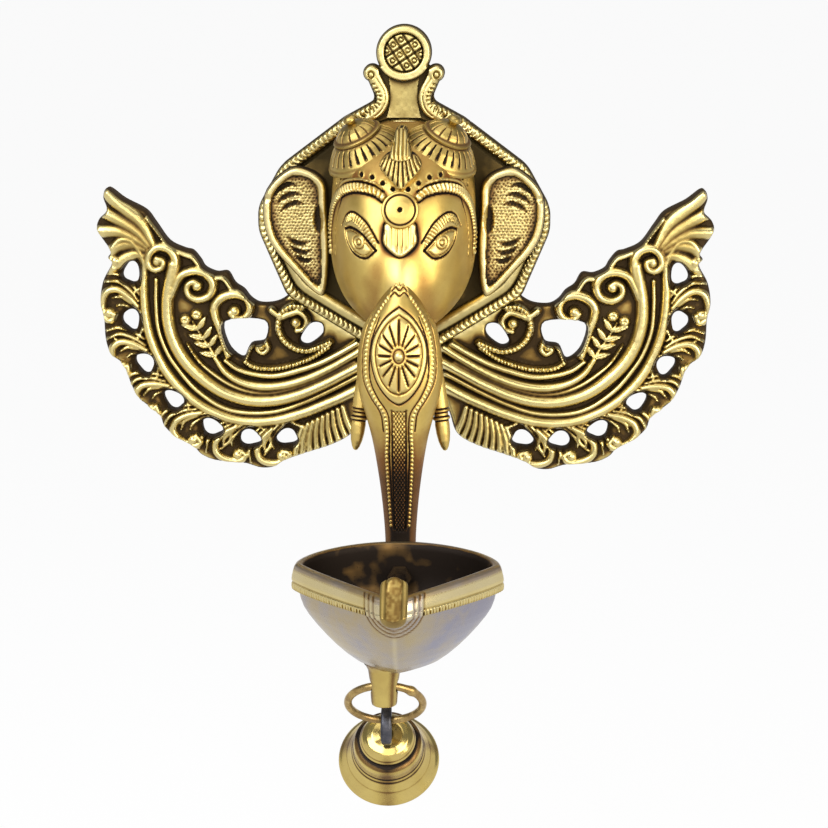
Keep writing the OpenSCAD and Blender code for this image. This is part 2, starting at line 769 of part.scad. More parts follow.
module ear() {
    color(brass)
        difference() {
            union() {
                slab(border_y - ear_t, border_y)
                    polygon(rounded(ear_path));
                rod(ear_rivet_at, ear_boss_r, border_y - past, field_y);
            }
            slab(border_y - ear_t - past, border_y - ear_t + ear_sink)
                offset(delta = -ear_rim)
                    polygon(rounded(ear_path));
            rod(ear_rivet_at, rivet_d / 2 + seam, border_y - ear_rivet_depth - seam, 0);
        }
}

module ear_rivet(side) {
    at = [side * ear_rivet_at.x, ear_rivet_at.y];
    color(iron)
        union() {
            rod(at, rivet_d / 2, border_y - ear_rivet_depth, -lap_t);
            rod(at, rivet_d, -lap_t, -lap_t + screw_head_h);
        }
}

module tusk(side) {
    color(brass)
        tusk_frame(side)
            union() {
                rotate([180, 0, 0])
                    rotate_extrude()
                        polygon([
                            [0, 0], [socket_r - 0.6, 0], [tusk_d * 0.46, tusk_l * 0.4],
                            [tusk_d * 0.5, tusk_l * 0.44], [tusk_d * 0.42, tusk_l * 0.47],
                            [tusk_d * 0.5, tusk_l * 0.5], [tusk_d * 0.42, tusk_l * 0.54],
                            [tusk_d * 0.36, tusk_l * 0.72], [tusk_d * 0.2, tusk_l * 0.94], [0, tusk_l]
                        ]);
                cylinder(d = tusk_pin_d, h = tusk_pin_l);
            }
}

// Bowl: plan of the wall at a scale, moved out by a distance, with the rim rising to the front
function plan(i, scale, out) =
    let (
        a = 360 * i / bowl_turns,
        c = cos(a),
        s = sin(a),
        bent = s > 0 ? [c, s] : [sign(c) * pow(abs(c), 2 / front_power), -pow(abs(s), 2 / front_power)]
    ) [bent.x * (scale * bowl_w / 2 + out), bent.y * (scale * (s > 0 ? bowl_back : bowl_front) + out)];
function swell(share) = pow(1 - pow(1 - share, 2.2), 0.5);
function bowl_ring(share, out, base, tall) = [for (i = [0:bowl_turns - 1])
    let (
        p = plan(i, swell(share), out),
        rise = share * rim_rise * pow(max(0, -sin(360 * i / bowl_turns)), 3)
    ) [bowl_mid.x + p.x, bowl_mid.y + p.y, base + tall * share + rise]];
bowl_bottom = rim_z - bowl_h;
outer_rows = concat(
    [for (k = [1:bowl_rows])
        bowl_ring(belt_share * pow(k / bowl_rows, 2), -belt_rise, bowl_bottom, bowl_h)],
    [bowl_ring(belt_share + 0.03, 0, bowl_bottom, bowl_h), bowl_ring(1, 0, bowl_bottom, bowl_h)]
);
inner_rows = [for (k = [bowl_rows:-1:1])
    bowl_ring(pow(k / bowl_rows, 2), -belt_rise - bowl_wall, bowl_bottom + bowl_wall, bowl_h - bowl_wall)];

// Cross section of the spout: a round bottom under straight sides
module trough(r, tall, top) {
    translate([0, top - tall + r])
        circle(r = r);
    translate([-r, top - tall + r])
        square([2 * r, tall - r]);
}

module collar(step) {
    trough(spout_w / 2 + step, spout_h + step, spout_top - step);
}

module bowl() {
    color(dark_brass)
        difference() {
            union() {
                skin(concat(outer_rows, inner_rows));
                rod([0, bowl_screw_z], bowl_pad_d / 2, nut_y, seat_y);
                for (i = [0:collar_count])
                    slab(front_y - spout_l * (1 - i / (collar_count + 1)), front_y + spout_w)
                        collar(i * collar_step);
                translate([lug_at.x, lug_at.y, lug_at.z - lug_end])
                    cylinder(d1 = lug_d - 0.6, d2 = lug_d + 2.4, h = lug_end + lug_drop + bowl_wall - 0.5);
            }
            slab(front_y - 2 * spout_l, front_y + spout_w + past)
                trough(channel_w / 2, channel_h + past, spout_top + past);
            rod([0, bowl_screw_z], bowl_screw_d / 2 + seam, seat_y - bowl_back, seat_y + past);
            translate(lug_at)
                rotate([0, 90, 0])
                    cylinder(r = lug_hole_r, h = 2 * lug_d, center = true);
        }
}

module bowl_screw() {
    color(iron)
        union() {
            rod([0, bowl_screw_z], bowl_screw_d / 2, nut_y - nut_t - 0.5, trunk_pad_y);
            rod([0, bowl_screw_z], bowl_screw_d * 0.85, trunk_pad_y, trunk_pad_y + bowl_screw_head_h);
        }
}

module bowl_nut() {
    color(brass)
        difference() {
            translate([0, nut_y, bowl_screw_z])
                rotate([90, 0, 0])
                    cylinder(r = bowl_screw_d * 1.02, h = nut_t, $fn = 6);
            rod([0, bowl_screw_z], bowl_screw_d / 2 + seam, nut_y - nut_t - past, nut_y + past);
        }
}

// The ring's plane holds X and leans back; a thickened joint closes its wire
module ring() {
    color(dark_brass)
        translate(lug_at)
            rotate([ring_lean, 0, 0])
                translate([0, 0, -ring_r])
                    rotate([90, 0, 0])
                        union() {
                            rotate_extrude()
                                translate([ring_r, 0])
                                    circle(d = ring_wire);
                            rotate([0, 0, 35])
                                rotate_extrude(angle = 20)
                                    translate([ring_r, 0])
                                        circle(d = ring_wire * 1.25);
                        }
}

// Frame of the bell: its origin is the ring's wire and -Z points to the bell's mouth
module bell_frame() {
    translate(bell_pivot)
        rotate([bell_lean, 0, 0])
            children();
}

module wire_eye(r, wire) {
    rotate([0, 90, 0])
        rotate_extrude()
            translate([r, 0])
                circle(d = wire);
}

module bell_loop() {
    color(iron)
        bell_frame()
            union() {
                translate([0, 0, -loop_hang])
                    wire_eye(loop_r, loop_wire);
                translate([0, 0, -eye_drop + eye_r])
                    cylinder(d = loop_wire, h = eye_drop - eye_r - loop_hang - loop_r);
                translate([0, 0, -eye_drop])
                    wire_eye(eye_r, loop_wire);
            }
}

module bell() {
    lip_r = bell_d / 2;
    color(brass)
        bell_frame()
            translate([0, 0, -bell_top])
                difference() {
                    rotate_extrude()
                        polygon([
                            [0, 0], [lip_r * 0.3, -0.4], [lip_r * 0.48, -bell_h * 0.1],
                            [lip_r * 0.55, -bell_h * 0.22], [lip_r * 0.52, -bell_h * 0.26],
                            [lip_r * 0.62, -bell_h * 0.3], [lip_r * 0.68, -bell_h * 0.42],
                            [lip_r * 0.7, -bell_h * 0.6], [lip_r * 0.78, -bell_h * 0.77],
                            [lip_r * 0.92, -bell_h * 0.92], [lip_r, -bell_h * 0.98],
                            [lip_r, -bell_h], [lip_r - bell_wall, -bell_h],
                            [lip_r * 0.78 - bell_wall, -bell_h * 0.8], [lip_r * 0.68 - bell_wall, -bell_h * 0.6],
                            [lip_r * 0.66 - bell_wall, -bell_h * 0.42],
                            [lip_r * 0.5 - bell_wall, -bell_h * 0.24],
                            [lip_r * 0.46 - bell_wall, -crown_t], [0, -crown_t]
                        ]);
                    translate([0, 0, -crown_t - past])
                        cylinder(r = loop_wire / 2 + seam, h = crown_t + 2 * past);
                }
}

module clapper() {
    color(iron)
        bell_frame()
            translate([0, 0, -clapper_drop])
                union() {
                    translate([0, 0, -clapper_eye_r])
                        rotate([0, 0, 90])
                            wire_eye(clapper_eye_r, clapper_wire);
                    translate([0, 0, -clapper_l])
                        cylinder(d = clapper_wire, h = clapper_l - 2 * clapper_eye_r);
                    translate([0, 0, -clapper_l])
                        sphere(d = clapper_d);
                }
}

plate();
strap();
for (i = [0, 1])
    blind_rivet([0, strap_rivet_z[i]]);
mirror([1, 0, 0]) wing();  // wing_left
wing();  // wing_right
for (i = [0:3])
    blind_rivet([(i < 2 ? -1 : 1) * wing_rivet_at[i % 2].x, wing_rivet_at[i % 2].y]);
mask();
for (i = [0, 1])
    mask_screw(mask_screw_z[i]);
jewel();
mirror([1, 0, 0]) ear();  // ear_left
ear();  // ear_right
ear_rivet(-1);  // ear_rivet_left
ear_rivet(1);  // ear_rivet_right
tusk(-1);  // tusk_left
tusk(1);  // tusk_right
bowl();
bowl_screw();
bowl_nut();
ring();
bell_loop();
bell();
clapper();
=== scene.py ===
import math
import bmesh
import bpy
import numpy as np
from mathutils import Matrix, Vector


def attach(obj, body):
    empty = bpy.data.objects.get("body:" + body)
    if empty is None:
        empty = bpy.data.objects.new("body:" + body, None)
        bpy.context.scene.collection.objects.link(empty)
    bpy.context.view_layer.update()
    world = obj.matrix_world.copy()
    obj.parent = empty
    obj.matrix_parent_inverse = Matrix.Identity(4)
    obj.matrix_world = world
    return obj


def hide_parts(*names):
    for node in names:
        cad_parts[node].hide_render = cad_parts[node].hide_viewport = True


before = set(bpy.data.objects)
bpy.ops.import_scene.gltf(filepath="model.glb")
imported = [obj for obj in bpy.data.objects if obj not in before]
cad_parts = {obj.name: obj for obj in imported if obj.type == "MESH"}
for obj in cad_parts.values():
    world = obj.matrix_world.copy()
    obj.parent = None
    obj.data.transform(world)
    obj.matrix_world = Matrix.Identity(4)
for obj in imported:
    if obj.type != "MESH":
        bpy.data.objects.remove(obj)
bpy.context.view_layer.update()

mm = 0.001  # everything below is worked out in millimetres and scaled once, when a mesh is made
sides = ((1, "Right"), (-1, "Left"))


# small curves on values

def unit(v):
    return np.clip(v, 0, 1)


def ease(v):  # 0 to 1 with soft ends
    return v * v * (3 - 2 * v)


def tent(v, wide):  # 1 at nought, falling straight to 0 at the width
    return unit(1 - np.abs(v) / wide)


def dome(v, wide, soft=1.0):  # the same with a round top
    return unit(1 - (v / wide) ** 2) ** soft


def hump(v, power=2):  # 1 at nought, with a long foot
    return np.exp(-(v**power))


def comb(phase, slit):  # 1 once in every whole step of the phase
    return tent(phase % 1 - 0.5, slit / 2)


def fullTurn(count):
    return np.linspace(0, 2 * np.pi, count, endpoint=False)


# paths and distances in the front view, where x runs to the right and z upwards

def smoothPath(points, steps=6, closed=False):
    p = np.asarray(points, float)
    before, after = (p[-1:], p[:2]) if closed else (2 * p[:1] - p[1:2], 2 * p[-1:] - p[-2:-1])
    q = np.vstack([before, p, after])
    t = np.linspace(0, 1, steps, endpoint=False)[:, None]
    out = [0.5 * (2 * b + (c - a) * t + (2 * a - 5 * b + 4 * c - d) * t**2 + (3 * b - a - 3 * c + d) * t**3)
           for a, b, c, d in zip(q[:-3], q[1:-2], q[2:-1], q[3:])]
    return np.vstack(out if closed else out + [p[-1:]])


def smoothRows(rows, z):  # a table of rows, first column z, read smoothly at many z
    path = smoothPath(rows, 14)
    order = np.argsort(path[:, 0])
    return [np.interp(z, path[order, 0], path[order, k]) for k in range(1, path.shape[1])]


def runOf(path):  # length of the path up to each of its points
    return np.concatenate([[0], np.cumsum(np.hypot(*np.diff(path, axis=0).T))])


def nearPath(x, z, path, reach, closed=False):  # distance, run along the path, side, whole length
    pts = np.vstack([path, path[:1]]) if closed else np.asarray(path, float)
    low, high = pts.min(0) - reach, pts.max(0) + reach
    pick = np.nonzero((x > low[0]) & (x < high[0]) & (z > low[1]) & (z < high[1]))[0]
    px, pz = x[pick], z[pick]
    best, at, hand = np.full(px.shape, float(reach)), np.zeros(px.shape), np.zeros(px.shape)
    run = 0.0
    for a, b in zip(pts[:-1], pts[1:]):
        d = b - a
        length = math.hypot(d[0], d[1])
        if length < 1e-9:
            continue
        near = np.nonzero((px > min(a[0], b[0]) - reach) & (px < max(a[0], b[0]) + reach)
                          & (pz > min(a[1], b[1]) - reach) & (pz < max(a[1], b[1]) + reach))[0]
        ux, uz = px[near] - a[0], pz[near] - a[1]
        t = unit((ux * d[0] + uz * d[1]) / length**2)
        dist = np.hypot(ux - t * d[0], uz - t * d[1])
        better = dist < best[near]
        hit = near[better]
        best[hit], at[hit] = dist[better], run + t[better] * length
        hand[hit] = np.sign(d[0] * uz - d[1] * ux)[better]
        run += length
    far, along, side = np.full(x.shape, float(reach)), np.zeros(x.shape), np.zeros(x.shape)
    far[pick], along[pick], side[pick] = best, at, hand
    return far, along, side, run


def insideDistance(x, z, outline, reach=5.0):  # positive inside, up to the reach
    dist = nearPath(x, z, outline, reach, True)[0]
    odd = np.zeros(x.shape, bool)
    for (ax, az), (bx, bz) in zip(outline, np.roll(outline, -1, 0)):
        if az == bz:
            continue
        hit = np.nonzero((z > min(az, bz)) & (z <= max(az, bz)))[0]
        odd[hit] ^= x[hit] < ax + (z[hit] - az) * (bx - ax) / (bz - az)
    return np.where(odd, dist, -dist)


def filletOutline(corners, steps=7):  # corners as [x, z, radius]
    out = []
    for i, (cx, cz, radius) in enumerate(corners):
        here = np.array([cx, cz], float)
        a = np.array(corners[i - 1][:2], float) - here
        b = np.array(corners[(i + 1) % len(corners)][:2], float) - here
        la, lb = np.hypot(*a), np.hypot(*b)
        a, b = a / la, b / lb
        angle = math.acos(max(-1, min(1, float(a @ b))))
        if radius <= 0 or angle > 3.1:
            out.append(here)
            continue
        back = min(radius / math.tan(angle / 2), 0.48 * la, 0.48 * lb)
        p, q = here + a * back, here + b * back
        out += [(1 - t) ** 2 * p + 2 * t * (1 - t) * here + t**2 * q for t in np.linspace(0, 1, steps)]
    return np.array(out)


def waver(x, z, size, seed):  # slow random swell, -1 to 1
    table = np.random.default_rng(seed).uniform(-1, 1, (64, 64))
    u, v = x / size + 31.7, z / size + 17.3
    i, j = np.floor(u).astype(int), np.floor(v).astype(int)
    f, g = ease(u - i), ease(v - j)
    low = table[i % 64, j % 64] * (1 - f) + table[(i + 1) % 64, j % 64] * f
    high = table[i % 64, (j + 1) % 64] * (1 - f) + table[(i + 1) % 64, (j + 1) % 64] * f
    return low * (1 - g) + high * g


def turnedTo(points, side):  # mirror a path to the left or right
    return [(side * p[0],) + tuple(p[1:]) for p in points]


def polarPath(points, centre, turn=0.0):
    return [(centre[0] + r * math.cos(math.radians(a + turn)), centre[1] + r * math.sin(math.radians(a + turn)))
            for r, a in points]


class Relief:  # chased work over a set of points: raised and sunk strokes on a base height
    def __init__(self, x, z, level):
        self.x, self.z = x, z
        self.h = np.zeros(x.shape) + level

    def stroke(self, path, width):
        widths = [width, width] if np.isscalar(width) else width
        dist, along, side, total = nearPath(self.x, self.z, path, max(widths))
        wide = np.interp(along / total, np.linspace(0, 1, len(widths)), widths)
        return dist, along, side, wide, max(widths)

    def lay(self, share, lift):
        self.h = np.where(share > 0, np.maximum(self.h, lift), self.h)

    def ridge(self, points, width, top, foot, notch=0.0, pitch=1.6, slant=0.0, soft=0.5, curl=0.0, slit=0.5):
        dist, along, side, wide, most = self.stroke(smoothPath(points), width)
        share = dome(dist, wide)
        lift = foot + (top - foot) * share**soft
        if notch:
            phase = along / pitch + slant * side * dist / most + curl * (dist / most) ** 2
            lift = lift - notch * comb(phase, slit) * share**0.2
        self.lay(share, lift)

    def groove(self, points, width, depth, straight=False):
        path = np.asarray(points, float) if straight else smoothPath(points)
        dist, along, side, wide, most = self.stroke(path, width)
        self.h = self.h - depth * (wide / most) * dome(dist, wide, 0.6)

    def boss(self, centre, radius, top, foot, soft=0.5):
        share = unit(1 - ((self.x - centre[0]) ** 2 + (self.z - centre[1]) ** 2) / radius**2)
        self.lay(share, foot + (top - foot) * share**soft)

    def pits(self, centres, radius, depth, rim=0.0):
        near = 1.8 * radius
        for cx, cz in centres:
            hit = np.nonzero((np.abs(self.x - cx) < near) & (np.abs(self.z - cz) < near))[0]
            q = np.hypot(self.x[hit] - cx, self.z[hit] - cz) / radius
            self.h[hit] += np.where(q < 1, -depth * (1 - q**2), rim * tent(q - 1.25, 0.5))

    def beads(self, points, radius, pitch, top, foot):
        path = smoothPath(points, 8)
        run = runOf(path)
        for s in np.arange(pitch / 2, run[-1], pitch):
            self.boss((np.interp(s, run, path[:, 0]), np.interp(s, run, path[:, 1])), radius, top, foot)

    def leaf(self, base, tip, width, top, foot):
        ax, az = tip[0] - base[0], tip[1] - base[1]
        length = math.hypot(ax, az)
        ux, uz = self.x - base[0], self.z - base[1]
        t = (ux * ax + uz * az) / length**2
        off = (ux * az - uz * ax) / length
        half = width * np.sin(np.pi * unit(t) ** 0.75) + 1e-6
        share = np.where((t > 0) & (t < 1), dome(off, half), 0)
        self.lay(share, foot + (top - foot) * share**0.5 - 0.5 * tent(off, 0.35))  # with a vein


# how far each point of a grid lies below its neighbours

def boxPass(a, reach, axis, wrap):
    pad = [(0, 0), (0, 0)]
    pad[axis] = (reach + 1, reach)
    run = np.cumsum(np.pad(a, pad, mode="wrap" if wrap else "edge"), axis)
    count, size = a.shape[axis], 2 * reach + 1
    return (np.take(run, range(size, size + count), axis) - np.take(run, range(count), axis)) / size


def soften(grid, weight, reach, wrap):
    a, w = grid * weight, weight.astype(float)
    for turn in range(3):
        for axis in (0, 1):
            a = boxPass(a, reach, axis, wrap and axis == 1)
            w = boxPass(w, reach, axis, wrap and axis == 1)
    return a / np.maximum(w, 1e-6)


def sunken(grid, weight, scales, wrap=False):  # scales as [reach, strength]
    return sum(strength * (soften(grid, weight, reach, wrap) - grid) for reach, strength in scales)


# meshes

def pieceFrom(name, verts, faces, recess=None, crease=40, place=None, recalc=False, plating=None):
    mesh = bpy.data.meshes.new(name)
    v = np.asarray(verts, float)
    if place is not None:
        m = np.array(place)
        v = v @ m[:3, :3].T + m[:3, 3]
    mesh.from_pydata((v * mm).tolist(), [], faces)
    for key, values in (("recess", recess), ("plating", plating)):
        if values is not None:
            layer = mesh.attributes.new(key, "FLOAT", "POINT")
            layer.data.foreach_set("value", np.asarray(values, np.float32).ravel())
    if recalc:
        bm = bmesh.new()
        bm.from_mesh(mesh)
        bmesh.ops.recalc_face_normals(bm, faces=bm.faces)
        bm.to_mesh(mesh)
        bm.free()
    mesh.polygons.foreach_set("use_smooth", np.ones(len(mesh.polygons), bool))
    mesh.set_sharp_from_angle(angle=math.radians(crease))
    mesh.validate()
    mesh.update()
    piece = bpy.data.objects.new(name, mesh)
    bpy.context.scene.collection.objects.link(piece)
    return piece


def castRelief(name, inside, front, back, box, step, reach=1.3, mirror=False, shade=None, backTone=0.22):
    corners = ((0, 0), (1, 0), (0, 1), (1, 1))
    xs = np.arange(box[0] - 2 * step, box[1] + 3 * step, step)
    zs = np.arange(box[2] - 2 * step, box[3] + 3 * step, step)
    cx, cz = np.meshgrid(xs[:-1] + step / 2, zs[:-1] + step / 2, indexing="ij")
    keep = (inside(cx.ravel(), cz.ravel()) > 0).reshape(cx.shape)
    keep[[0, -1], :] = False
    keep[:, [0, -1]] = False
    wide, tall = keep.shape
    for turn in range(3):  # cells that would meet at a corner only
        a, b, c, d = (keep[p:wide - 1 + p, q:tall - 1 + q] for p, q in corners)
        i, j = np.nonzero((a & d & ~b & ~c) | (b & c & ~a & ~d))
        for p, q in corners:
            keep[i + p, j + q] = True
    count = np.zeros((len(xs), len(zs)), int)
    for p, q in corners:
        count[p:p + wide, q:q + tall] += keep
    used = count > 0
    gx, gz = np.meshgrid(xs, zs, indexing="ij")
    px, pz = gx[used], gz[used]
    onRim = (count < 4)[used]
    fx, fz = px[onRim], pz[onRim]
    rx, rz, nudge, slack = fx, fz, 0.04, 0.7 * step
    for turn in range(3):  # rim corners slide onto the outline
        d = inside(rx, rz)
        slopeX = (inside(rx + nudge, rz) - inside(rx - nudge, rz)) / (2 * nudge)
        slopeZ = (inside(rx, rz + nudge) - inside(rx, rz - nudge)) / (2 * nudge)
        size = slopeX**2 + slopeZ**2 + 0.05
        rx = np.clip(rx - d * slopeX / size, fx - slack, fx + slack)
        rz = np.clip(rz - d * slopeZ / size, fz - slack, fz + slack)
    px[onRim], pz[onRim] = rx, rz
    high, deep = front(px, pz), back(px, pz)
    grid = np.zeros(used.shape)
    grid[used] = high
    cells = reach / step / 1.7
    recess = sunken(grid, used, ((max(1, round(cells)), 0.65), (max(2, round(3 * cells)), 0.45)))[used]
    recess = recess + (shade(px, pz) if shade else 0)
    n = len(px)
    number = np.full(used.shape, -1)
    number[used] = np.arange(n)
    i, j = np.nonzero(keep)
    quad = np.stack([number[i, j], number[i + 1, j], number[i + 1, j + 1], number[i, j + 1]], 1)
    walls = []
    for (di, dj), start, end in (((-1, 0), (0, 0), (0, 1)), ((1, 0), (1, 1), (1, 0)),
                                 ((0, -1), (1, 0), (0, 0)), ((0, 1), (0, 1), (1, 1))):
        bare = ~keep[i + di, j + dj]
        a = number[i[bare] + start[0], j[bare] + start[1]]
        b = number[i[bare] + end[0], j[bare] + end[1]]
        walls.append(np.stack([a, b, b + n, a + n], 1))
    faces = np.vstack([quad, quad[:, ::-1] + n] + walls)
    verts = np.vstack([np.stack([px, -high, pz], 1), np.stack([px, -deep, pz], 1)])
    if mirror:
        verts, faces = verts * [-1, 1, 1], faces[:, ::-1]
    return pieceFrom(name, verts, faces.tolist(), np.concatenate([recess, np.full(n, backTone)]), 52)


def ringFaces(rows, around, ends="capped"):  # the ends are capped, open or joined to each other
    a = np.arange(rows if ends == "joined" else rows - 1)[:, None]
    b = np.arange(around)[None, :]
    c = (b + 1) % around
    low, high = a * around, (a + 1) % rows * around
    faces = np.stack([low + b, low + c, high + c, high + b], -1).reshape(-1, 4).tolist()
    if ends == "capped":
        first, top = rows * around, (rows - 1) * around
        faces += [[first, (k + 1) % around, k] for k in range(around)]
        faces += [[first + 1, top + k, top + (k + 1) % around] for k in range(around)]
    return faces


def loftPiece(name, rings, recess, crease=45, place=None, plating=None):  # rings as rows x points x 3
    rows, around = rings.shape[:2]
    verts = np.vstack([rings.reshape(-1, 3), rings[0].mean(0), rings[-1].mean(0)])
    recess = np.concatenate([recess.ravel(), [0.2, 0.2]])
    if plating is not None:
        plating = np.concatenate([plating.ravel(), [0.0, 0.0]])
    return pieceFrom(name, verts, ringFaces(rows, around), recess, crease, place, True, plating)


def evenRing(points, count):  # the same ring with its points spread evenly
    run = runOf(points)
    at = np.linspace(0, run[-1], count)
    return np.stack([np.interp(at, run, points[:, 0]), np.interp(at, run, points[:, 1])], 1), at - run[-1] / 2


def ringStack(outlines, heights, count, closed):  # rings of even points, and their run from the middle
    rings, runs = [], []
    for outline, z in zip(outlines, heights):
        ring, run = evenRing(outline, count + closed)
        rings.append(np.column_stack([ring[:count], np.full(count, z)]))
        runs.append(run[:count])
    return np.array(rings), np.array(runs)


def ringNormals(rings, closed):
    around = np.roll(rings, -1, 1) - np.roll(rings, 1, 1) if closed else np.gradient(rings, axis=1)
    n = np.cross(around, np.gradient(rings, axis=0))
    n /= np.linalg.norm(n, axis=2, keepdims=True) + 1e-9
    middle = rings.mean(1, keepdims=True)
    return n * np.sign((n * (rings - middle)).sum((1, 2), keepdims=True))


def ontoRings(rings, run, fore, points):  # front-view points as run along the ring and z
    out = []
    for x, z in points:
        k = int(np.argmin(np.abs(rings[:, 0, 2] - z)))
        across, along = rings[k, fore[k], 0], run[k, fore[k]]
        order = np.argsort(across)
        out.append((float(np.interp(x, across[order], along[order])), z))
    return out


def lathePiece(name, profile, around, place, shape=None, crease=35):  # profile as [radius, height]
    p = np.asarray(profile, float)
    turn = fullTurn(around)
    r, h = np.repeat(p[:, :1], around, 1), np.repeat(p[:, 1:2], around, 1)
    recess = np.zeros(r.shape)
    if shape is not None:
        r, h, recess = shape(r, h, np.repeat(turn[None], len(p), 0))
    rings = np.stack([r * np.cos(turn), r * np.sin(turn), h], 2)
    return loftPiece(name, rings, recess, crease, place)


def fineProfile(points, gap):  # straight runs cut into short steps
    out = []
    for a, b in zip(points[:-1], points[1:]):
        count = max(1, round(math.dist(a, b) / gap))
        out += [(a[0] + (b[0] - a[0]) * k / count, a[1] + (b[1] - a[1]) * k / count) for k in range(count)]
    return out + [points[-1]]


def aimed(at, axis, hint=(0, -1, 0)):  # a frame at a point with its third axis along a direction
    w = Vector(axis).normalized()
    u = Vector(hint).cross(w)
    u = u.normalized() if u.length > 1e-4 else Vector((1, 0, 0))
    m = Matrix((u, w.cross(u), w)).transposed().to_4x4()
    m.translation = Vector(at)
    return m


def sweepPiece(name, path, radius, around):  # a closed wire, its radius given at each point
    p = np.asarray(path, float)
    n = len(p)
    tangent = np.roll(p, -1, 0) - np.roll(p, 1, 0)
    tangent /= np.linalg.norm(tangent, axis=1, keepdims=True)
    side = np.repeat(np.linalg.svd(p - p.mean(0))[2][2][None], n, 0)
    side -= (side * tangent).sum(1, keepdims=True) * tangent
    side /= np.linalg.norm(side, axis=1, keepdims=True)
    other = np.cross(tangent, side)
    turn = fullTurn(around)[None, :, None]
    rings = p[:, None] + radius[:, None, None] * (np.cos(turn) * side[:, None] + np.sin(turn) * other[:, None])
    faces = ringFaces(n, around, "joined")
    return pieceFrom(name, rings.reshape(-1, 3), faces, np.zeros(n * around), 45, None, True)


def paintedBands(turn, shadeBands):  # painted dark reflection bands round a turned piece, each as [turn, width, strength]
    return sum(dark * hump(((np.degrees(turn) - at + 180) % 360 - 180) / wide) for at, wide, dark in shadeBands)


# materials

class Wire:  # one output socket, with plain arithmetic on values
    def __init__(self, tree, out=None):
        self.tree, self.out = tree, out

    def node(self, kind, settings=None, values=None, out=0):
        made = self.tree.nodes.new("ShaderNode" + kind)
        for key, value in (settings or {}).items():
            setattr(made, key, value)
        for key, value in (values or {}).items():
            if isinstance(value, Wire):
                self.tree.links.new(value.out, made.inputs[key])
            else:
                made.inputs[key].default_value = value
        return Wire(self.tree, made.outputs[out])

    def maths(self, operation, a, b):
        return self.node("Math", {"operation": operation}, {0: a, 1: b})

    def __add__(self, other):
        return self.maths("ADD", self, other)

    def __radd__(self, other):
        return self.maths("ADD", other, self)

    def __sub__(self, other):
        return self.maths("SUBTRACT", self, other)

    def __rsub__(self, other):
        return self.maths("SUBTRACT", other, self)

    def __mul__(self, other):
        return self.maths("MULTIPLY", self, other)

    def clamped(self):
        return self.node("Clamp", None, {0: self})

    def tinted(self, low, high):  # a colour between two, by this value
        return self.node("Mix", {"data_type": "RGBA"}, {0: self, 6: low, 7: high}, 2)

    def noise(self, scale, detail, rough=0.5):  # on this vector
        values = {"Vector": self, "Scale": scale, "Detail": detail, "Roughness": rough}
        return self.node("TexNoise", None, values)


def rgb(red, green, blue):
    return (red, green, blue, 1.0)


def startMaterial(name):
    material = bpy.data.materials.new(name)
    material.use_nodes = True
    material.node_tree.nodes.clear()
    return material, Wire(material.node_tree)


def closeMaterial(wire, shader):
    end = wire.tree.nodes.new("ShaderNodeOutputMaterial")
    wire.tree.links.new(shader.out, end.inputs["Surface"])


def brassFinish(name, look):
    material, w = startMaterial(name)
    place = w.node("TexCoord", out="Object")
    sunk = w.node("Attribute", {"attribute_name": "recess"}, out="Fac")
    cloud = place.noise(look["cloud"], 5.0, 0.62)
    blotch = place.noise(3.7 * look["cloud"], 4.0, 0.6)
    grain = place.noise(look["grain"], 3.0)
    specks = w.node("TexVoronoi", {"feature": "F1"}, {"Vector": place, "Scale": look["specks"], "Randomness": 1.0})
    # darkening by the recess value: patina in the hollows, and painted shade there as well, in place of shading from
    # the surrounding relief
    grimeAndShade = (sunk * look["grimeAndShade"] + (blotch - 0.5) * look["patch"] + look["start"]).clamped()
    shine = (0.0 - sunk * 1.6).clamped()  # edges rubbed bright
    tone = ((cloud - 0.5) * 2.2 + 0.5).clamped()
    metal = tone.tinted(look["deep"], look["warm"])
    if "silver" in look:  # worn white plating, thin at the edges; its colour wanders between silver and a painted bluish reflection
        plated = w.node("Attribute", {"attribute_name": "plating"}, out="Fac")
        veil = (plated * (0.55 + (cloud - 0.42) * 2.6)).clamped()
        metal = veil.tinted(metal, tone.tinted(look["silver"], look["bluishReflection"]))
    metal = (shine * 0.8).tinted(metal, look["rubbed"])
    spots = ((0.16 - specks) * 9.0).clamped() * (0.25 + grimeAndShade * 0.6).clamped()
    stain = (grimeAndShade + spots * 0.5).clamped()
    # brown and near-black by stain: real specks, patches and patina, and the painted shade of the hollows
    colour = (stain * 2.0).clamped().tinted(metal, look["brown"])
    colour = (stain * 2.0 - 1.0).clamped().tinted(colour, look["dirtAndShade"])
    rough = look["rough"] + grimeAndShade * 0.34 + (cloud - 0.5) * 0.12 + (grain - 0.5) * 0.08 - shine * 0.06
    height = grain * 0.5 + blotch * 1.2 - spots * 1.1
    bump = w.node("Bump", None, {"Strength": look["bump"], "Distance": look["relief"], "Height": height})
    shader = w.node("BsdfPrincipled", None, {
        "Base Color": colour, "Roughness": rough.clamped(), "Metallic": (1.0 - stain * 0.42).clamped(),
        "Specular IOR Level": 0.25, "Normal": bump})
    closeMaterial(w, shader)
    return material


def ironFinish(name, look):
    material, w = startMaterial(name)
    place = w.node("TexCoord", out="Object")
    cloud = place.noise(look["cloud"], 6.0, 0.65)
    grain = place.noise(look["grain"], 3.0)
    rust = ((cloud - 0.56) * 6.0).clamped()
    colour = ((cloud - 0.3) * 2.0).clamped().tinted(look["dark"], look["pale"])
    colour = (rust * 0.5).tinted(colour, look["rust"])
    height = cloud + grain * 0.4
    bump = w.node("Bump", None, {"Strength": look["bump"], "Distance": look["relief"], "Height": height})
    shader = w.node("BsdfPrincipled", None, {
        "Base Color": colour, "Roughness": 0.36 + rust * 0.35 + (grain - 0.5) * 0.2,
        "Metallic": 0.95 - rust * 0.5, "Normal": bump})
    closeMaterial(w, shader)
    return material


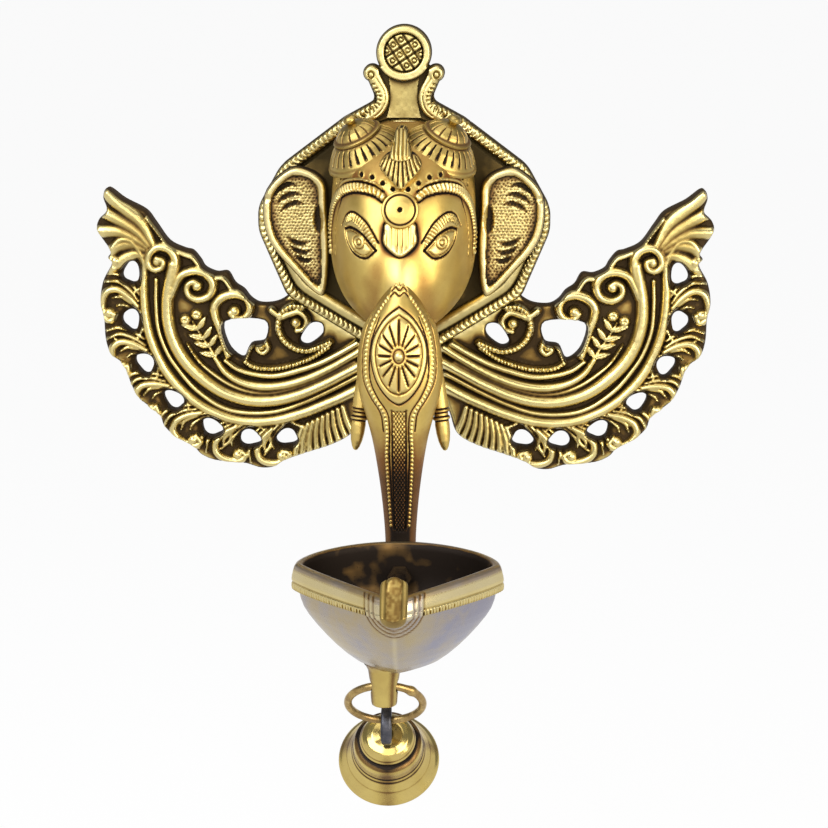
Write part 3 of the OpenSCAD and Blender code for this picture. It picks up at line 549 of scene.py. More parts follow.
ironLook = {"dark": rgb(0.03, 0.03, 0.035), "pale": rgb(0.13, 0.13, 0.15), "rust": rgb(0.08, 0.04, 0.02),
            "cloud": 260.0, "grain": 2200.0, "bump": 0.35, "relief": 0.00015}
baseLook = {
    "warm": rgb(0.58, 0.46, 0.18), "deep": rgb(0.4, 0.295, 0.1), "rubbed": rgb(0.86, 0.75, 0.42),
    "brown": rgb(0.17, 0.095, 0.03), "dirtAndShade": rgb(0.012, 0.007, 0.004), "cloud": 55.0, "grimeAndShade": 1.7, "patch": 0.4,
    "start": 0.0, "rough": 0.28, "bump": 0.35, "grain": 1500.0, "specks": 900.0, "relief": 0.00012,
}
brassLooks = {  # what differs from the base
    "cast": {},
    "mask": {"warm": rgb(0.6, 0.44, 0.128), "deep": rgb(0.44, 0.295, 0.077), "rubbed": rgb(0.74, 0.6, 0.27),
             "brown": rgb(0.2, 0.085, 0.02), "grimeAndShade": 2.9, "patch": 0.25, "start": -0.06, "rough": 0.4, "bump": 0.2},
    "plate": {"warm": rgb(0.5, 0.405, 0.155), "deep": rgb(0.34, 0.265, 0.095), "rubbed": rgb(0.6, 0.5, 0.235),
              "brown": rgb(0.135, 0.088, 0.026), "dirtAndShade": rgb(0.036, 0.024, 0.006), "grimeAndShade": 1.9, "patch": 0.5,
              "start": 0.12, "rough": 0.36},
    "bowl": {"silver": rgb(0.36, 0.322, 0.31), "bluishReflection": rgb(0.27, 0.266, 0.335), "grimeAndShade": 1.3,
             "start": -0.05, "rough": 0.27, "cloud": 38.0, "bump": 0.25},
    "ring": {"warm": rgb(0.58, 0.42, 0.155), "deep": rgb(0.28, 0.18, 0.075), "patch": 1.1, "start": 0.14,
             "cloud": 120.0},
    "bell": {"warm": rgb(0.62, 0.48, 0.15), "deep": rgb(0.46, 0.33, 0.1), "grimeAndShade": 3.0, "patch": 0.35,
             "start": 0.02, "rough": 0.17, "bump": 0.15},
    "ear": {"warm": rgb(0.5, 0.4, 0.163), "deep": rgb(0.36, 0.268, 0.088), "rubbed": rgb(0.66, 0.55, 0.27),
            "dirtAndShade": rgb(0.024, 0.015, 0.006), "patch": 0.3, "start": 0.06, "rough": 0.38},
    "wing": {"warm": rgb(0.5, 0.388, 0.13), "deep": rgb(0.33, 0.235, 0.07), "rubbed": rgb(0.7, 0.585, 0.265),
             "brown": rgb(0.155, 0.09, 0.022), "dirtAndShade": rgb(0.034, 0.019, 0.005), "grimeAndShade": 1.75, "start": 0.13,
             "rough": 0.34},
    "crown": {"warm": rgb(0.41, 0.295, 0.088), "deep": rgb(0.29, 0.195, 0.053), "rubbed": rgb(0.53, 0.415, 0.165),
              "grimeAndShade": 2.6, "start": 0.22, "rough": 0.38},
    "soot": {"start": 0.95, "rough": 0.45},
}
brass = {name: brassFinish(name + "Brass", {**baseLook, **look}) for name, look in brassLooks.items()}
darkIron = ironFinish("darkIron", ironLook)
print("materials made")


def settle(piece, body, slotName, material, *nodes):
    piece.data.materials.append(material)
    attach(piece, body)
    if nodes:
        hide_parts(*nodes)
    return piece


# back plate

plate = {
    "disc": (0.0, -1.5, 9.8), "field": 10.0, "back": 2.5, "skin": 3.0, "wall": 4.0, "edge": 9.2,
    "corners": [(5.9, -4.4, 0), (13.8, -8.6, 2.2), (9.8, -17.9, 3), (21.5, -24.3, 8), (44, -41.2, 14),
                (52.2, -55.9, 12), (52.2, -64.4, 14), (42.2, -88, 8)],
    "foot": (0, -114, 4), "snout": (11.3, -8.6, 3.1), "step": 0.43, "fineStep": 0.25, "seam": -26.0,
    "rope": [(10.8, -20.6), (14.6, -22.8), (20.6, -26.2), (30.4, -33.4), (40.2, -40.8), (46.4, -47.6), (49.9, -55.2),
             (50.1, -64), (47.4, -71.8), (43.8, -80), (40.6, -86), (34.2, -90.6), (21, -98.8), (8, -106.8),
             (0.6, -111.3)],
    "ropeCut": {"width": 2.2, "top": 11.7, "foot": 9.9, "notch": 0.8, "pitch": 2.0, "slant": 0.1, "soft": 0.3,
                "curl": 0.8, "slit": 0.45},
    "plain": [(44.6, -57.5), (44.9, -63.6), (42.6, -71), (39.4, -78.6), (36.2, -83.8), (30.6, -87.8), (18, -95.6),
              (5, -103.4)],
    "plainCut": {"width": [1.4, 2.3, 2.3, 2.3, 2.0], "top": 11.6, "foot": 9.8, "soft": 0.4},
    "serpent": [(11.6, -8.6), (9.9, -11.8), (7.8, -15.2), (7.5, -18.4), (8.8, -21.4), (12.4, -24.4)],
    "serpentCut": {"width": [2.9, 2.7, 2.3, 2.2, 2.1, 1.6], "top": 11.9, "foot": 10.3, "soft": 0.28},
    "serpentHead": {"radius": 3.2, "top": 12.1, "foot": 11.0, "soft": 0.25}, "lens": (9.4, -27.0, 2.3),
    "collar": [(-9.2, -26.2), (-4.6, -25.0), (0, -24.6), (4.6, -25.0), (9.2, -26.2)],
    "latticeTurn": 33.0, "latticeReach": 7, "latticeLong": (-2.1, 2.1), "latticeCross": (-3.2, 0.0, 3.2),
    "latticeRings": [(-4.8, -0.2), (-1.6, 0.1), (1.6, -0.1), (4.8, 0.2), (-1.6, 4.3), (1.6, 4.3), (-1.6, -4.3),
                     (1.6, -4.3), (-4.6, 3.8), (4.6, -3.8)],
    "pads": [(0, -40.2, 5.5), (0, -86.2, 5.5), (31.8, -86.3, 4.0), (14.9, -96.7, 4.0), (38.0, -59.7, 4.0)],
}
plateOutline = filletOutline(plate["corners"] + [plate["foot"]] + turnedTo(plate["corners"][::-1], -1))


def plateInside(x, z):
    cx, cz, radius = plate["disc"]
    sx, sz, size = plate["snout"]
    heads = size - np.hypot(np.abs(x) - sx, z - sz)
    body = np.maximum(insideDistance(x, z, plateOutline, 9.0), heads)
    return np.maximum(body, radius - np.hypot(x - cx, z - cz))


def plateSide(r, x, z, side):  # rope border, plain band and serpent of one side
    rope = plate["rope"]
    r.ridge(turnedTo(rope, side), **plate["ropeCut"])
    inner = [(px - 2.5 * (0.55 if pz > -30 else 1), pz - (1.8 if pz > -48 else -0.9)) for px, pz in rope[1:]]
    r.groove(turnedTo(inner, side), 0.55, 0.8)
    r.ridge(turnedTo(plate["plain"], side), **plate["plainCut"])
    body = turnedTo(plate["serpent"], side)
    r.ridge(body, **plate["serpentCut"])
    far, along = nearPath(x, z, smoothPath(body), 2.9)[:2]
    middle = np.interp(-z, [-pz for px, pz in plate["serpent"]], [px for px, pz in plate["serpent"]])
    outward = np.where(np.abs(x) > middle, 1, -1) * far
    on = (far < 2.6) & (z > -24)
    scales = comb(along / 1.7 + 0.22 * outward, 0.5)
    r.h = r.h - 0.55 * scales * (on & (outward > 0.5) & (z < -11.4))
    r.h = r.h - 0.4 * tent(outward + 0.9, 0.36) * (on & (z < -9))
    r.boss((side * 11.8, -8.6), **plate["serpentHead"])  # with an eye
    r.h = r.h - 0.75 * tent(np.hypot((x - side * 11.5) / 0.85, z + 9.2) - 1.15, 0.42)


def discFront(x, z, q):  # lattice with small rings inside a plain rim
    disc = Relief(x, z, 11.3)
    spin, half = math.radians(plate["latticeTurn"]), plate["latticeReach"]
    middle = np.array(plate["disc"][:2])
    along = np.array([math.cos(spin), math.sin(spin)])
    across = np.array([-along[1], along[0]])
    for offsets, u, v, width, depth in ((plate["latticeLong"], along, across, 0.45, 0.75),
                                        (plate["latticeCross"], across, along, 0.4, 0.7)):
        for off in offsets:
            disc.groove([middle + v * off - u * half, middle + v * off + u * half], width, depth, True)
    for a, b in plate["latticeRings"]:
        px, pz = middle + along * a + across * b
        disc.h = disc.h - 0.6 * tent(np.hypot(x - px, z - pz) - 0.8, 0.36)
    disc.h = disc.h - 0.9 * tent(q - 6.8, 0.5)
    return np.where(q > 6.95, 11.2 + 0.9 * unit(1 - np.abs((q - 8.4) / 1.5) ** 8) ** 0.7, disc.h)


def plateFront(x, z):
    r = Relief(x, z, plate["field"] - 0.35 + 0.12 * waver(x, z, 7, 3))
    r.h = r.h - 0.9 * hump((x / 30) ** 2 + ((z + 44) / 17) ** 2)  # hollow behind the crown
    for side, hand in sides:
        plateSide(r, x, z, side)
    wide, middle, tall = plate["lens"]
    lens = unit(1 - (x / wide) ** 2 - ((z - middle) / tall) ** 2)
    r.h = np.where(lens > 0, 10.2 + 1.1 * lens**0.25, r.h)
    r.groove(plate["collar"], 0.5, 0.8)
    neck = (np.abs(x) < 4.8 + 0.02 * (z + 16) ** 2) & (z < -10) & (z > -24.4)
    r.h = np.where(neck, np.maximum(r.h, 10.25 - 0.45 * np.cos(np.clip(x / 6, -1, 1) * np.pi / 2)), r.h)
    cx, cz, radius = plate["disc"]
    q = np.hypot(x - cx, z - cz)
    r.h = np.where(q < radius, discFront(x, z, q), r.h)
    soft = unit(plateInside(x, z)) ** 0.4
    return plate["edge"] + (r.h - plate["edge"]) * soft + 0.03 * waver(x, z, 1.3, 5)


def plateBack(x, z):
    hollow = np.where(z > -21, 0, ease(unit((plateInside(x, z) - plate["wall"]) / 0.9)))
    for px, pz, wide in plate["pads"]:  # solid places behind the fasteners
        hollow = hollow * unit((np.hypot(np.abs(x) - px, z - pz) - wide) / 0.8)
    depth = plate["field"] - plate["back"] - plate["skin"] - 0.7
    return plate["back"] + hollow * depth + 0.05 * waver(x, z, 2.4, 9)


def plateShade(x, z):  # painted shade on the field behind the crown, beside the ears and under the chin, where head and ears would shade it; a little lighter on the neck
    crownSide = hump((x / 36) ** 2 + ((z + 38) / 13) ** 2, 3)
    chin = hump((x / 26) ** 2 + ((z + 88) / 11) ** 2, 3)
    earSide = hump((np.abs(x) - 25) / 5, 4) * hump((z + 64) / 26, 4)
    paintedShade = np.maximum(np.maximum(0.55 * crownSide, 0.4 * chin), 0.75 * earSide)
    low = (plateFront(x, z) < 10.4) & (z < -27)
    return paintedShade * low - 0.05 * ((np.abs(x) < 5.5) & (z > -25) & (z < -11))


def belowSeam(x, z):
    return np.minimum(plateInside(x, z), plate["seam"] - z)


def aboveSeam(x, z):
    return np.minimum(plateInside(x, z), z - plate["seam"])


plateCast = castRelief("plateCast", belowSeam, plateFront, plateBack, (-53, 53, -115, plate["seam"]), plate["step"],
                       shade=plateShade)
finialCast = castRelief("finialCast", aboveSeam, plateFront, plateBack, (-26, 26, plate["seam"], 9),
                        plate["fineStep"], 1.0, shade=plateShade)
settle(finialCast, "lamp", "dark_brass", brass["plate"], "plate")
settle(plateCast, "lamp", "dark_brass", brass["plate"], "plate")
print("plate", len(plateCast.data.polygons))


# wings

wing = {
    "box": (3, 112, -154, -49), "step": 0.375, "floor": 5.9, "edge": 4.6, "lap": 2.45, "scroll": (52.0, -93.0),
    "holeSize": (3.1, 3.9),
    "outline": [(106.5, -49.8), (108.4, -53), (107.2, -57.8), (110, -61), (111, -64.1), (109.7, -67.3), (106.2, -72.7),
                (107.2, -75), (105.9, -77.2), (109.2, -83.6), (110.4, -90.9), (109.3, -96.4), (108.9, -104.6),
                (107.2, -110.1), (102.4, -114.7), (99.8, -122.1), (96.3, -127.6), (90, -132.7), (88.3, -136.9),
                (84.7, -140.6), (77.9, -144.3), (74.8, -147.6), (69.3, -149.9), (59.2, -150.8), (52.8, -152.6),
                (47.8, -152.1), (44.1, -149.7), (36.3, -146.9), (26.2, -143.5), (19.3, -139.3), (16.8, -132.6),
                (15.0, -127), (13.6, -119), (12.2, -108.6), (9.4, -103), (6.2, -96.6), (6.8, -94.7), (20, -86.4),
                (33.4, -78.2), (35.2, -78.4), (38.4, -83.6), (41.4, -88), (46, -91), (52, -91.6), (55.6, -89.8),
                (58.2, -86.6), (61.4, -84.3), (64, -80.2), (68.1, -80.3), (72.1, -78.5), (73.8, -75.8), (76.5, -72.6),
                (79.6, -71.7), (85, -69), (89.8, -62.3), (93.3, -57.8), (100.8, -53.8)],
    "holes": [(48.8, 14.4), (47.9, -6.2), (47.8, -26.4), (47.5, -47), (48.6, -67.7), (49, -84.9), (49.2, -100.8)],
    "shifts": (0.0, 0.4, -0.6, 0.5, 1.4, 0.6, -0.4),  # of the frond beside each hole, in degrees
    "windows": [[(50.8, -97.8), (65, -98.2), (64.2, -107), (59, -111.6), (56, -106.6), (50.8, -105)],
                [(30, -99), (34.2, -99), (38, -105), (35, -106.8), (30, -103)]],
    "bands": [  # path, half-width along it, top
        ([(92.4, -71.8), (93.8, -79), (94.2, -88.1), (93.6, -97.2), (91.7, -105.4), (87.8, -114.6), (81.6, -122.9),
          (73.5, -129.4), (64.4, -133.5), (56.2, -134.9), (47.1, -134.3), (37, -131.5), (28.8, -128.2), (22.4, -125.4),
          (14, -121)], [1.7, 2.2, 2.4, 2.4], 9.1),
        ([(89.6, -82.6), (89.8, -91.7), (89.1, -100.9), (86.3, -109.1), (82.3, -115.5), (76.1, -122.9), (67.1, -129.3),
          (58, -131.6), (47.1, -131.1), (37, -127.8), (27, -123.1), (15, -116.8)], [1.0, 1.35, 1.35], 8.3),
        ([(83.3, -77.1), (84.4, -82.6), (85.6, -89.9), (85.6, -97.2), (83.9, -104.5), (80.4, -111.4), (75.1, -117.3),
          (67, -123.3), (57.9, -126.5), (48.8, -126.9), (39.7, -125), (30.6, -121.3), (22.4, -117.1), (12, -111.4)],
         [2.5, 2.8, 2.7, 2.2], 10.0),
        ([(78.8, -106), (75, -112), (70.4, -116.4), (64, -120.8), (56.8, -123.6), (48.6, -124.2), (39.4, -122),
          (30, -118.4), (18, -112.6)], [0.6, 1.3, 1.4, 1.3], 8.7),
        ([(68.6, -111.3), (65.1, -116.4), (59.7, -120), (52.4, -121.8), (44.2, -121.3), (36, -119), (27.8, -115.3),
          (19.6, -110.6), (14, -107)], [1.3, 2.2, 2.3, 1.9], 9.4),
        ([(65, -112.2), (60.5, -115.4), (54.2, -117.2), (46.9, -117.7), (38.7, -115.8), (30.5, -113), (23.2, -109.3),
          (17, -105.6)], [1.1, 1.7, 1.7], 9.0)],
    "volutes": [
        ([(84.2, -84), (83, -80.8), (82.4, -75.3), (84.6, -71.7), (88.6, -70.8), (91.5, -73.1), (92.2, -76.7),
          (90.1, -79), (87.4, -78.2), (86.9, -75.8), (89.2, -74.9)], [2.3, 2.0, 1.4], 9.9),
        ([(84.4, -88.6), (81.7, -82.6), (79.3, -80.3), (75.3, -79.4), (71.2, -80.7), (69, -84.4), (70.5, -88.4),
          (74.6, -89.8), (78, -88), (78.3, -84.8), (76.1, -83.3), (74, -84.4)], [1.9, 2.1, 1.4], 9.7),
        ([(64, -110), (66.6, -100.8), (68.3, -96.2), (68.5, -92.1), (65.5, -88.9), (61, -87.8), (56.9, -89.5),
          (55.8, -93.4), (58.2, -96.6), (61.3, -96.6), (62.9, -94.5)], [1.8, 2.2, 1.5], 9.7),
        ([(57.7, -111.3), (55.8, -107.1), (53.5, -104.5), (50.6, -105.1), (49.5, -107.6), (51.3, -109.4),
          (53.3, -108), (52.2, -106.6)], [1.3, 1.2], 8.9),
        ([(48, -93.6), (44.6, -96), (42.1, -95.2), (38, -94.2), (35.3, -97), (36.3, -100.2), (39, -101.1)],
         [1.6, 1.7, 1.3], 9.2)],
    "balls": [(89, -76, 2.4), (74.8, -85, 2.3), (61.4, -94, 2.5), (51.8, -107, 1.5), (39.2, -98.2, 2.3)],
    "beaded": [  # path, size, pitch
        ([(36.7, -92.2), (40.7, -92.2), (44.2, -94.6), (45.6, -99.3), (44, -104.2), (39.7, -107.6), (34.1, -108.2),
          (27, -105.4)], 1.1, 1.5),
        ([(57.7, -112.6), (54.1, -114.6), (46.9, -115), (39.6, -113.4), (33.2, -110.8), (27.6, -107)], 0.85, 1.3)],
    # leaves of the border, as radius and turn about the scroll
    "frond": [(44.6, 6.5), (47.8, 10.8), (52.2, 13.2), (55.8, 11.8), (57.3, 7.6), (56.8, 2.6), (54.4, 0.8),
              (52.9, 3.2)],
    "veins": [([(43.4, 3.4), (46.8, 7.9), (50.4, 10.4), (53.6, 9.8)], 1.05, 8.6),
              ([(43.4, 0.6), (46.4, 4.6), (49.8, 7.0), (52.0, 6.6)], 0.9, 8.2),
              ([(44.2, 9.0), (47.8, 13.8), (52.4, 16.4), (57.0, 15.4)], 1.0, 8.6),
              ([(44.0, 12.0), (47.8, 16.6), (52.4, 19.0), (56.6, 18.4)], 0.9, 8.2)],
    "curl": (54.8, 3.8), "stalk": [(43.6, -4), (46.2, -7.6), (50, -8.8), (54.2, -6.0)],
    "plumes": [[(90.4, -69.9), (94.3, -62.7), (99.1, -58.3), (103.5, -54.7), (106.1, -51.6)],
               [(91.8, -70.4), (96.1, -65.5), (101.4, -61.9), (107.4, -58.6)],
               [(92.7, -70.9), (97.5, -67.7), (102.9, -65.4), (109.4, -65.2)],
               [(93.6, -71.8), (98, -70), (103, -70.6), (106.4, -73.6)],
               [(93.8, -74), (97, -73.4), (101, -75.4), (105.6, -78.4)]],
    "fan": [[(37.1, -136.6), (22.5, -129.1)], [(40.1, -148.2), (18.8, -139.4)]], "fanCount": 9,
    "sprig": [(68.2, -111.8), (70.8, -107.2), (73.9, -102.6), (76.6, -98)], "buds": [(75.2, -95.4), (79.4, -97.4)],
    "leafAt": (0.1, 0.34, 0.58, 0.8), "leaves": ((-3.4, 5.2), (6.2, 1.8)),
    "upperEdge": [(92.6, -60.4), (88.6, -65.6), (84.4, -70.8), (79.4, -73.6), (76.2, -74.9), (73.2, -78.6),
                  (69.4, -81.8), (65.4, -82.4), (62.6, -86), (59, -88.6)],
}
wingOutline = smoothPath(wing["outline"], 5, True)


def fromScroll(x, z):
    return np.hypot(x - wing["scroll"][0], z - wing["scroll"][1])


def wingHole(x, z, centre):  # positive outside the hole
    cx, cz = polarPath([centre], wing["scroll"])[0]
    wide, tall = wing["holeSize"]
    a = math.radians(centre[1])
    u = ((x - cx) * math.cos(a) + (z - cz) * math.sin(a)) / wide
    v = (-(x - cx) * math.sin(a) + (z - cz) * math.cos(a)) / tall
    turn = np.arctan2(v, u)
    lobe = 1 + 0.13 * np.cos(turn - 2.1) + 0.09 * np.cos(3 * turn + 0.1 * centre[1])
    return (np.hypot(u, v) - lobe) * wide


def wingInside(x, z):
    d = insideDistance(x, z, wingOutline)
    for centre in wing["holes"]:
        d = np.minimum(d, wingHole(x, z, centre))
    for window in wing["windows"]:
        d = np.minimum(d, -insideDistance(x, z, smoothPath(window, 5, True)))
    return d


def wingBorder(r, x, z, hole, shift):  # one leaf with its veins, curl and stalk beside a hole
    floor, scroll = wing["floor"], wing["scroll"]
    turn = hole[1] + shift
    r.ridge(polarPath(wing["frond"], scroll, turn), [1.2, 1.7, 1.7, 1.3], 9.2, floor)
    for vein, width, top in wing["veins"]:
        r.ridge(polarPath(vein, scroll, turn), [0.7, width, width, 0.6], top, floor)
    r.boss(polarPath([wing["curl"]], scroll, turn)[0], 2.3, 9.7, floor + 0.4)
    r.ridge(polarPath(wing["stalk"], scroll, hole[1]), [0.7, 1.2, 0.8], 8.3, floor)
    r.h = r.h - 1.8 * hump(wingHole(x, z, hole) / 1.3) * unit((fromScroll(x, z) - 41.5) / 2)


def wingFront(x, z):
    floor = wing["floor"]
    r = Relief(x, z, floor + 0.15 * waver(x, z, 6, 11))
    r.h = r.h + unit((fromScroll(x, z) - 43) / 4) * unit((110 - np.abs(x)) / 4)
    r.h = r.h + 0.8 * hump((x - 74) / 11, 4) * hump((z + 98) / 12, 4)  # higher ground round the sprig
    for path, width, top in wing["bands"]:
        r.ridge(path, width, top, floor - 0.2)
    for hole, shift in zip(wing["holes"], wing["shifts"]):
        wingBorder(r, x, z, hole, shift)
    for path in wing["plumes"]:
        r.ridge(path, [1.6, 2.7, 2.3], 9.1, floor + 0.8)
    fan = np.array(wing["fan"])
    for t in np.linspace(0, 1, wing["fanCount"]):
        top, low = fan[:, 0] + (fan[:, 1] - fan[:, 0]) * t
        r.ridge([top, (top + low) / 2 + [0.5, 0], low], [1.1, 1.5, 1.3], 8.5, floor + 0.4)
    r.ridge(wing["sprig"], [0.9, 0.6, 0.5], 8.2, floor)
    line = smoothPath(wing["sprig"], 8)
    for share in wing["leafAt"]:
        px, pz = line[int(share * (len(line) - 1))]
        for dx, dz in wing["leaves"]:
            r.leaf((px, pz), (px + dx, pz + dz), 1.5, 8.6, floor + 0.3)
    for bud in wing["buds"]:
        r.boss(bud, 2.4, 9.0, floor)
        r.pits([bud], 0.8, 0.9)
    for path, width, top in wing["volutes"]:
        r.ridge(path, width, top, floor)
    for bx, bz, size in wing["balls"]:
        r.boss((bx, bz), size, 9.9, floor)
    for path, size, pitch in wing["beaded"]:
        r.ridge(path, size + 0.6, 8.0, floor)
        r.ridge(path, size + 0.1, 9.3, 7.4, notch=1.0, pitch=pitch, slant=0.2, soft=0.4)
    r.ridge(wing["upperEdge"], [0.9, 1.2, 1.2, 0.9], 8.6, floor)
    soft = unit(wingInside(x, z) / 0.9) ** 0.45
    h = wing["edge"] + (r.h - wing["edge"]) * soft + 0.04 * waver(x, z, 1.2, 13)
    return np.where(insideDistance(x, z, plateOutline, 4.0) > 0.25, wing["lap"], h)  # flat behind the plate


def wingBack(x, z):
    hollow = ease(unit((wingInside(x, z) - 2.2) / 0.9))
    clear = unit(-insideDistance(x, z, plateOutline, 4.0) / 1.5)  # of the plate
    return np.where(clear > 0, 0.1, 0.35) + hollow * clear * 3.1 + 0.05 * waver(x, z, 2.1, 19)


def wingShade(x, z):  # painted shade on the leaf border and round the small scrolls, in their hollows, with a random mottle
    scrolls = hump((x - 44) / 16, 4) * hump((z + 102) / 11, 4)
    return 0.08 * unit((fromScroll(x, z) - 43) / 3) + 0.14 * scrolls + 0.06 * waver(x, z, 5, 17)


for side, hand in sides:
    wingCast = castRelief("wingCast" + hand, wingInside, wingFront, wingBack, wing["box"], wing["step"], 1.0, side < 0,
                          wingShade)
    settle(wingCast, "lamp", "brass", brass["wing"], "wing_" + hand.lower())
print("wings", len(wingCast.data.polygons))


# ears

ear = {
    "path": [(27.8, -46.7), (33.9, -42), (41.3, -42), (49.6, -51.3), (48.8, -66.2), (40.3, -77.8), (29.2, -87.6),
             (26.4, -74.6), (27.0, -56.9)],
    "inner": [(31.2, -48), (34.6, -44.8), (40.4, -44.9), (46.8, -52.4), (46, -65), (38.2, -75.6), (30.4, -83.4),
              (29.4, -74), (29.9, -57)],
    "box": (26, 51, -90, -40), "level": 14.2, "rim": 16.0, "edge": 12.2, "back": 9.6, "step": 0.34, "stipple": 1.25,
    "creases": [[(37.6, -48.2), (40.6, -47.4), (44.2, -49.2), (46, -51.6)],
                [(36, -51.4), (39.4, -50.8), (43, -52.4), (45.2, -54.6)],
                [(35.2, -54.6), (38.2, -54), (41.4, -55.2), (43.6, -57.2)],
                [(33.4, -68), (36.4, -68.6), (39.4, -67.8), (41.6, -66)],
                [(32.8, -71), (35.6, -71.8), (38.4, -71), (40.6, -69.2)],
                [(32.2, -74), (34.6, -74.8), (37, -74), (38.8, -72.4)]],
    "hollow": (30.2, -60.0, 2.0, 5.2), "notch": (48.6, -52.5),
}
earOutline, earInner = smoothPath(ear["path"], 6, True), smoothPath(ear["inner"], 6, True)


def earInside(x, z):
    return insideDistance(x, z, earOutline)


def earFront(x, z):
    edge, field = earInside(x, z), insideDistance(x, z, earInner)
    r = Relief(x, z, ear["level"] + 0.1 * waver(x, z, 4, 23))
    gap = ear["stipple"]
    spots = np.array([(px + (k % 2) * gap / 2, pz) for k, pz in enumerate(np.arange(-84, -44, gap * 0.87))
                      for px in np.arange(29, 50, gap)])
    spots = spots + np.random.default_rng(5).uniform(-0.22, 0.22, (len(spots), 2))
    r.pits(spots[insideDistance(spots[:, 0], spots[:, 1], earInner) > 0.7], 0.46, 0.42)
    for path in ear["creases"]:
        r.groove(path, [0.25, 0.95, 0.95, 0.25], 1.1)
    band = dome(edge - 1.7, 1.7, 0.4)
    raised = ear["level"] + (ear["rim"] - ear["level"]) * np.maximum(band, 0.25)
    r.h = np.where(field < 0, raised, r.h)
    hx, hz, wide, tall = ear["hollow"]
    r.h = r.h - 1.5 * unit(1 - ((x - hx) / wide) ** 2 - ((z - hz) / tall) ** 2) ** 0.9
    r.h = r.h - 0.9 * tent(np.hypot(x - ear["notch"][0], z - ear["notch"][1]), 1.6)
    return ear["edge"] + (r.h - ear["edge"]) * unit(edge / 0.9) ** 0.45 + 0.03 * waver(x, z, 1.1, 29)


def earBack(x, z):
    return ear["back"] + 0.04 * waver(x, z, 2, 31)


for side, hand in sides:
    earCast = castRelief("earCast" + hand, earInside, earFront, earBack, ear["box"], ear["step"], mirror=side < 0)
    settle(earCast, "lamp", "brass", brass["ear"], "ear_" + hand.lower())
print("ears", len(earCast.data.polygons))


# head

head = {
    "rows": [(-25.5, 6, -20), (-29, 16.5, -31), (-34, 21.5, -39.5), (-40, 24, -45), (-48, 25.2, -49.6),
             (-56, 25.6, -52.8), (-64, 25.8, -55), (-72, 25.5, -56.4), (-79, 24.2, -56.6), (-86, 21, -54.6),
             (-92, 16, -49.4), (-97, 9.8, -41), (-100.5, 4.5, -31)],  # z, half-width, front
    "back": -9.4, "square": 2.55, "around": 360, "step": 0.315,
    "rope": [(6.2, -48.2), (9.4, -46.3), (15.2, -45.5), (20, -47.3), (22.8, -51), (24.2, -56.2), (24.9, -63),
             (24.7, -69)],
    "ropeCut": {"width": [1.3, 1.6, 1.6, 1.4], "top": 1.25, "foot": 0.0, "notch": 1.0, "pitch": 1.6, "slant": 0.25,
                "soft": 0.25, "slit": 0.72},
    "brow": [(20.4, -58.6), (18.8, -54.9), (16, -53.7), (11.6, -56.8), (7.4, -63.2)],
    "eyeTop": [(19.2, -59.6), (17, -58.9), (13.2, -60.6), (8.2, -65.8)],
    "eyeLow": [(8.2, -65.8), (11.8, -68.6), (16, -67.3), (18.5, -63.4), (19.2, -59.6)], "iris": (14.2, -63.4),
    "dots": [(2.6, -45.6), (6.1, -43.7), (9.8, -41.9), (13.6, -41.2), (17.6, -41.6), (21, -43.2), (22.6, -45.6)],
    "tongue": [(-4.4, -56.4), (-5.6, -59.6), (-5.8, -63.2), (-3.4, -66.2), (0, -68.1), (3.4, -66.2), (5.8, -63.2),
               (5.6, -59.6), (4.4, -56.4)],
}


def headOutline(half, front):
    t, power = np.linspace(0, np.pi, 700), 2 / head["square"]
    x = half * np.sign(np.cos(t)) * np.abs(np.cos(t)) ** power
    return np.stack([x, head["back"] + (front - head["back"]) * np.abs(np.sin(t)) ** power], 1)[::-1]


headZ = np.arange(head["rows"][0][0], head["rows"][-1][0] - 0.01, -head["step"])
headRings, headRun = ringStack(map(headOutline, *smoothRows(head["rows"], headZ)), headZ, head["around"], False)


def eyeRelief(r, a, z, brow, eyeTop, eyeLow, middle):
    inBand = insideDistance(a, z, np.vstack([smoothPath(brow), smoothPath(eyeTop)[::-1]]))
    near, along = nearPath(a, z, smoothPath(brow), 3.4)[:2]
    hatch = comb(along / 1.3, 0.6) * (near < 3.0) * unit((inBand - 0.3) / 0.3)
    r.h = np.where(inBand > 0, 0.35 * unit(inBand / 1.2) ** 0.5 - 0.5 * hatch, r.h)
    inEye = insideDistance(a, z, np.vstack([smoothPath(eyeTop), smoothPath(eyeLow)[1:-1]]))
    q = np.hypot((a - middle[0]) / 1.12, z - middle[1])
    ball = 0.4 * unit(inEye / 3.0) ** 0.7 - 0.5 * tent(inEye - 1.05, 0.36)
    iris = 0.55 * tent(q - 2.2, 0.36) + 0.6 * tent(q - 0.95, 0.34)
    r.h = np.where(inEye > 0, np.where(q < 2.7, 0.4, ball) - iris, r.h)
    for line, wide, deep in ((brow, 0.42, 0.6), (eyeTop, 0.5, 0.8), (eyeLow, 0.42, 0.6)):
        r.groove(line, wide, deep)


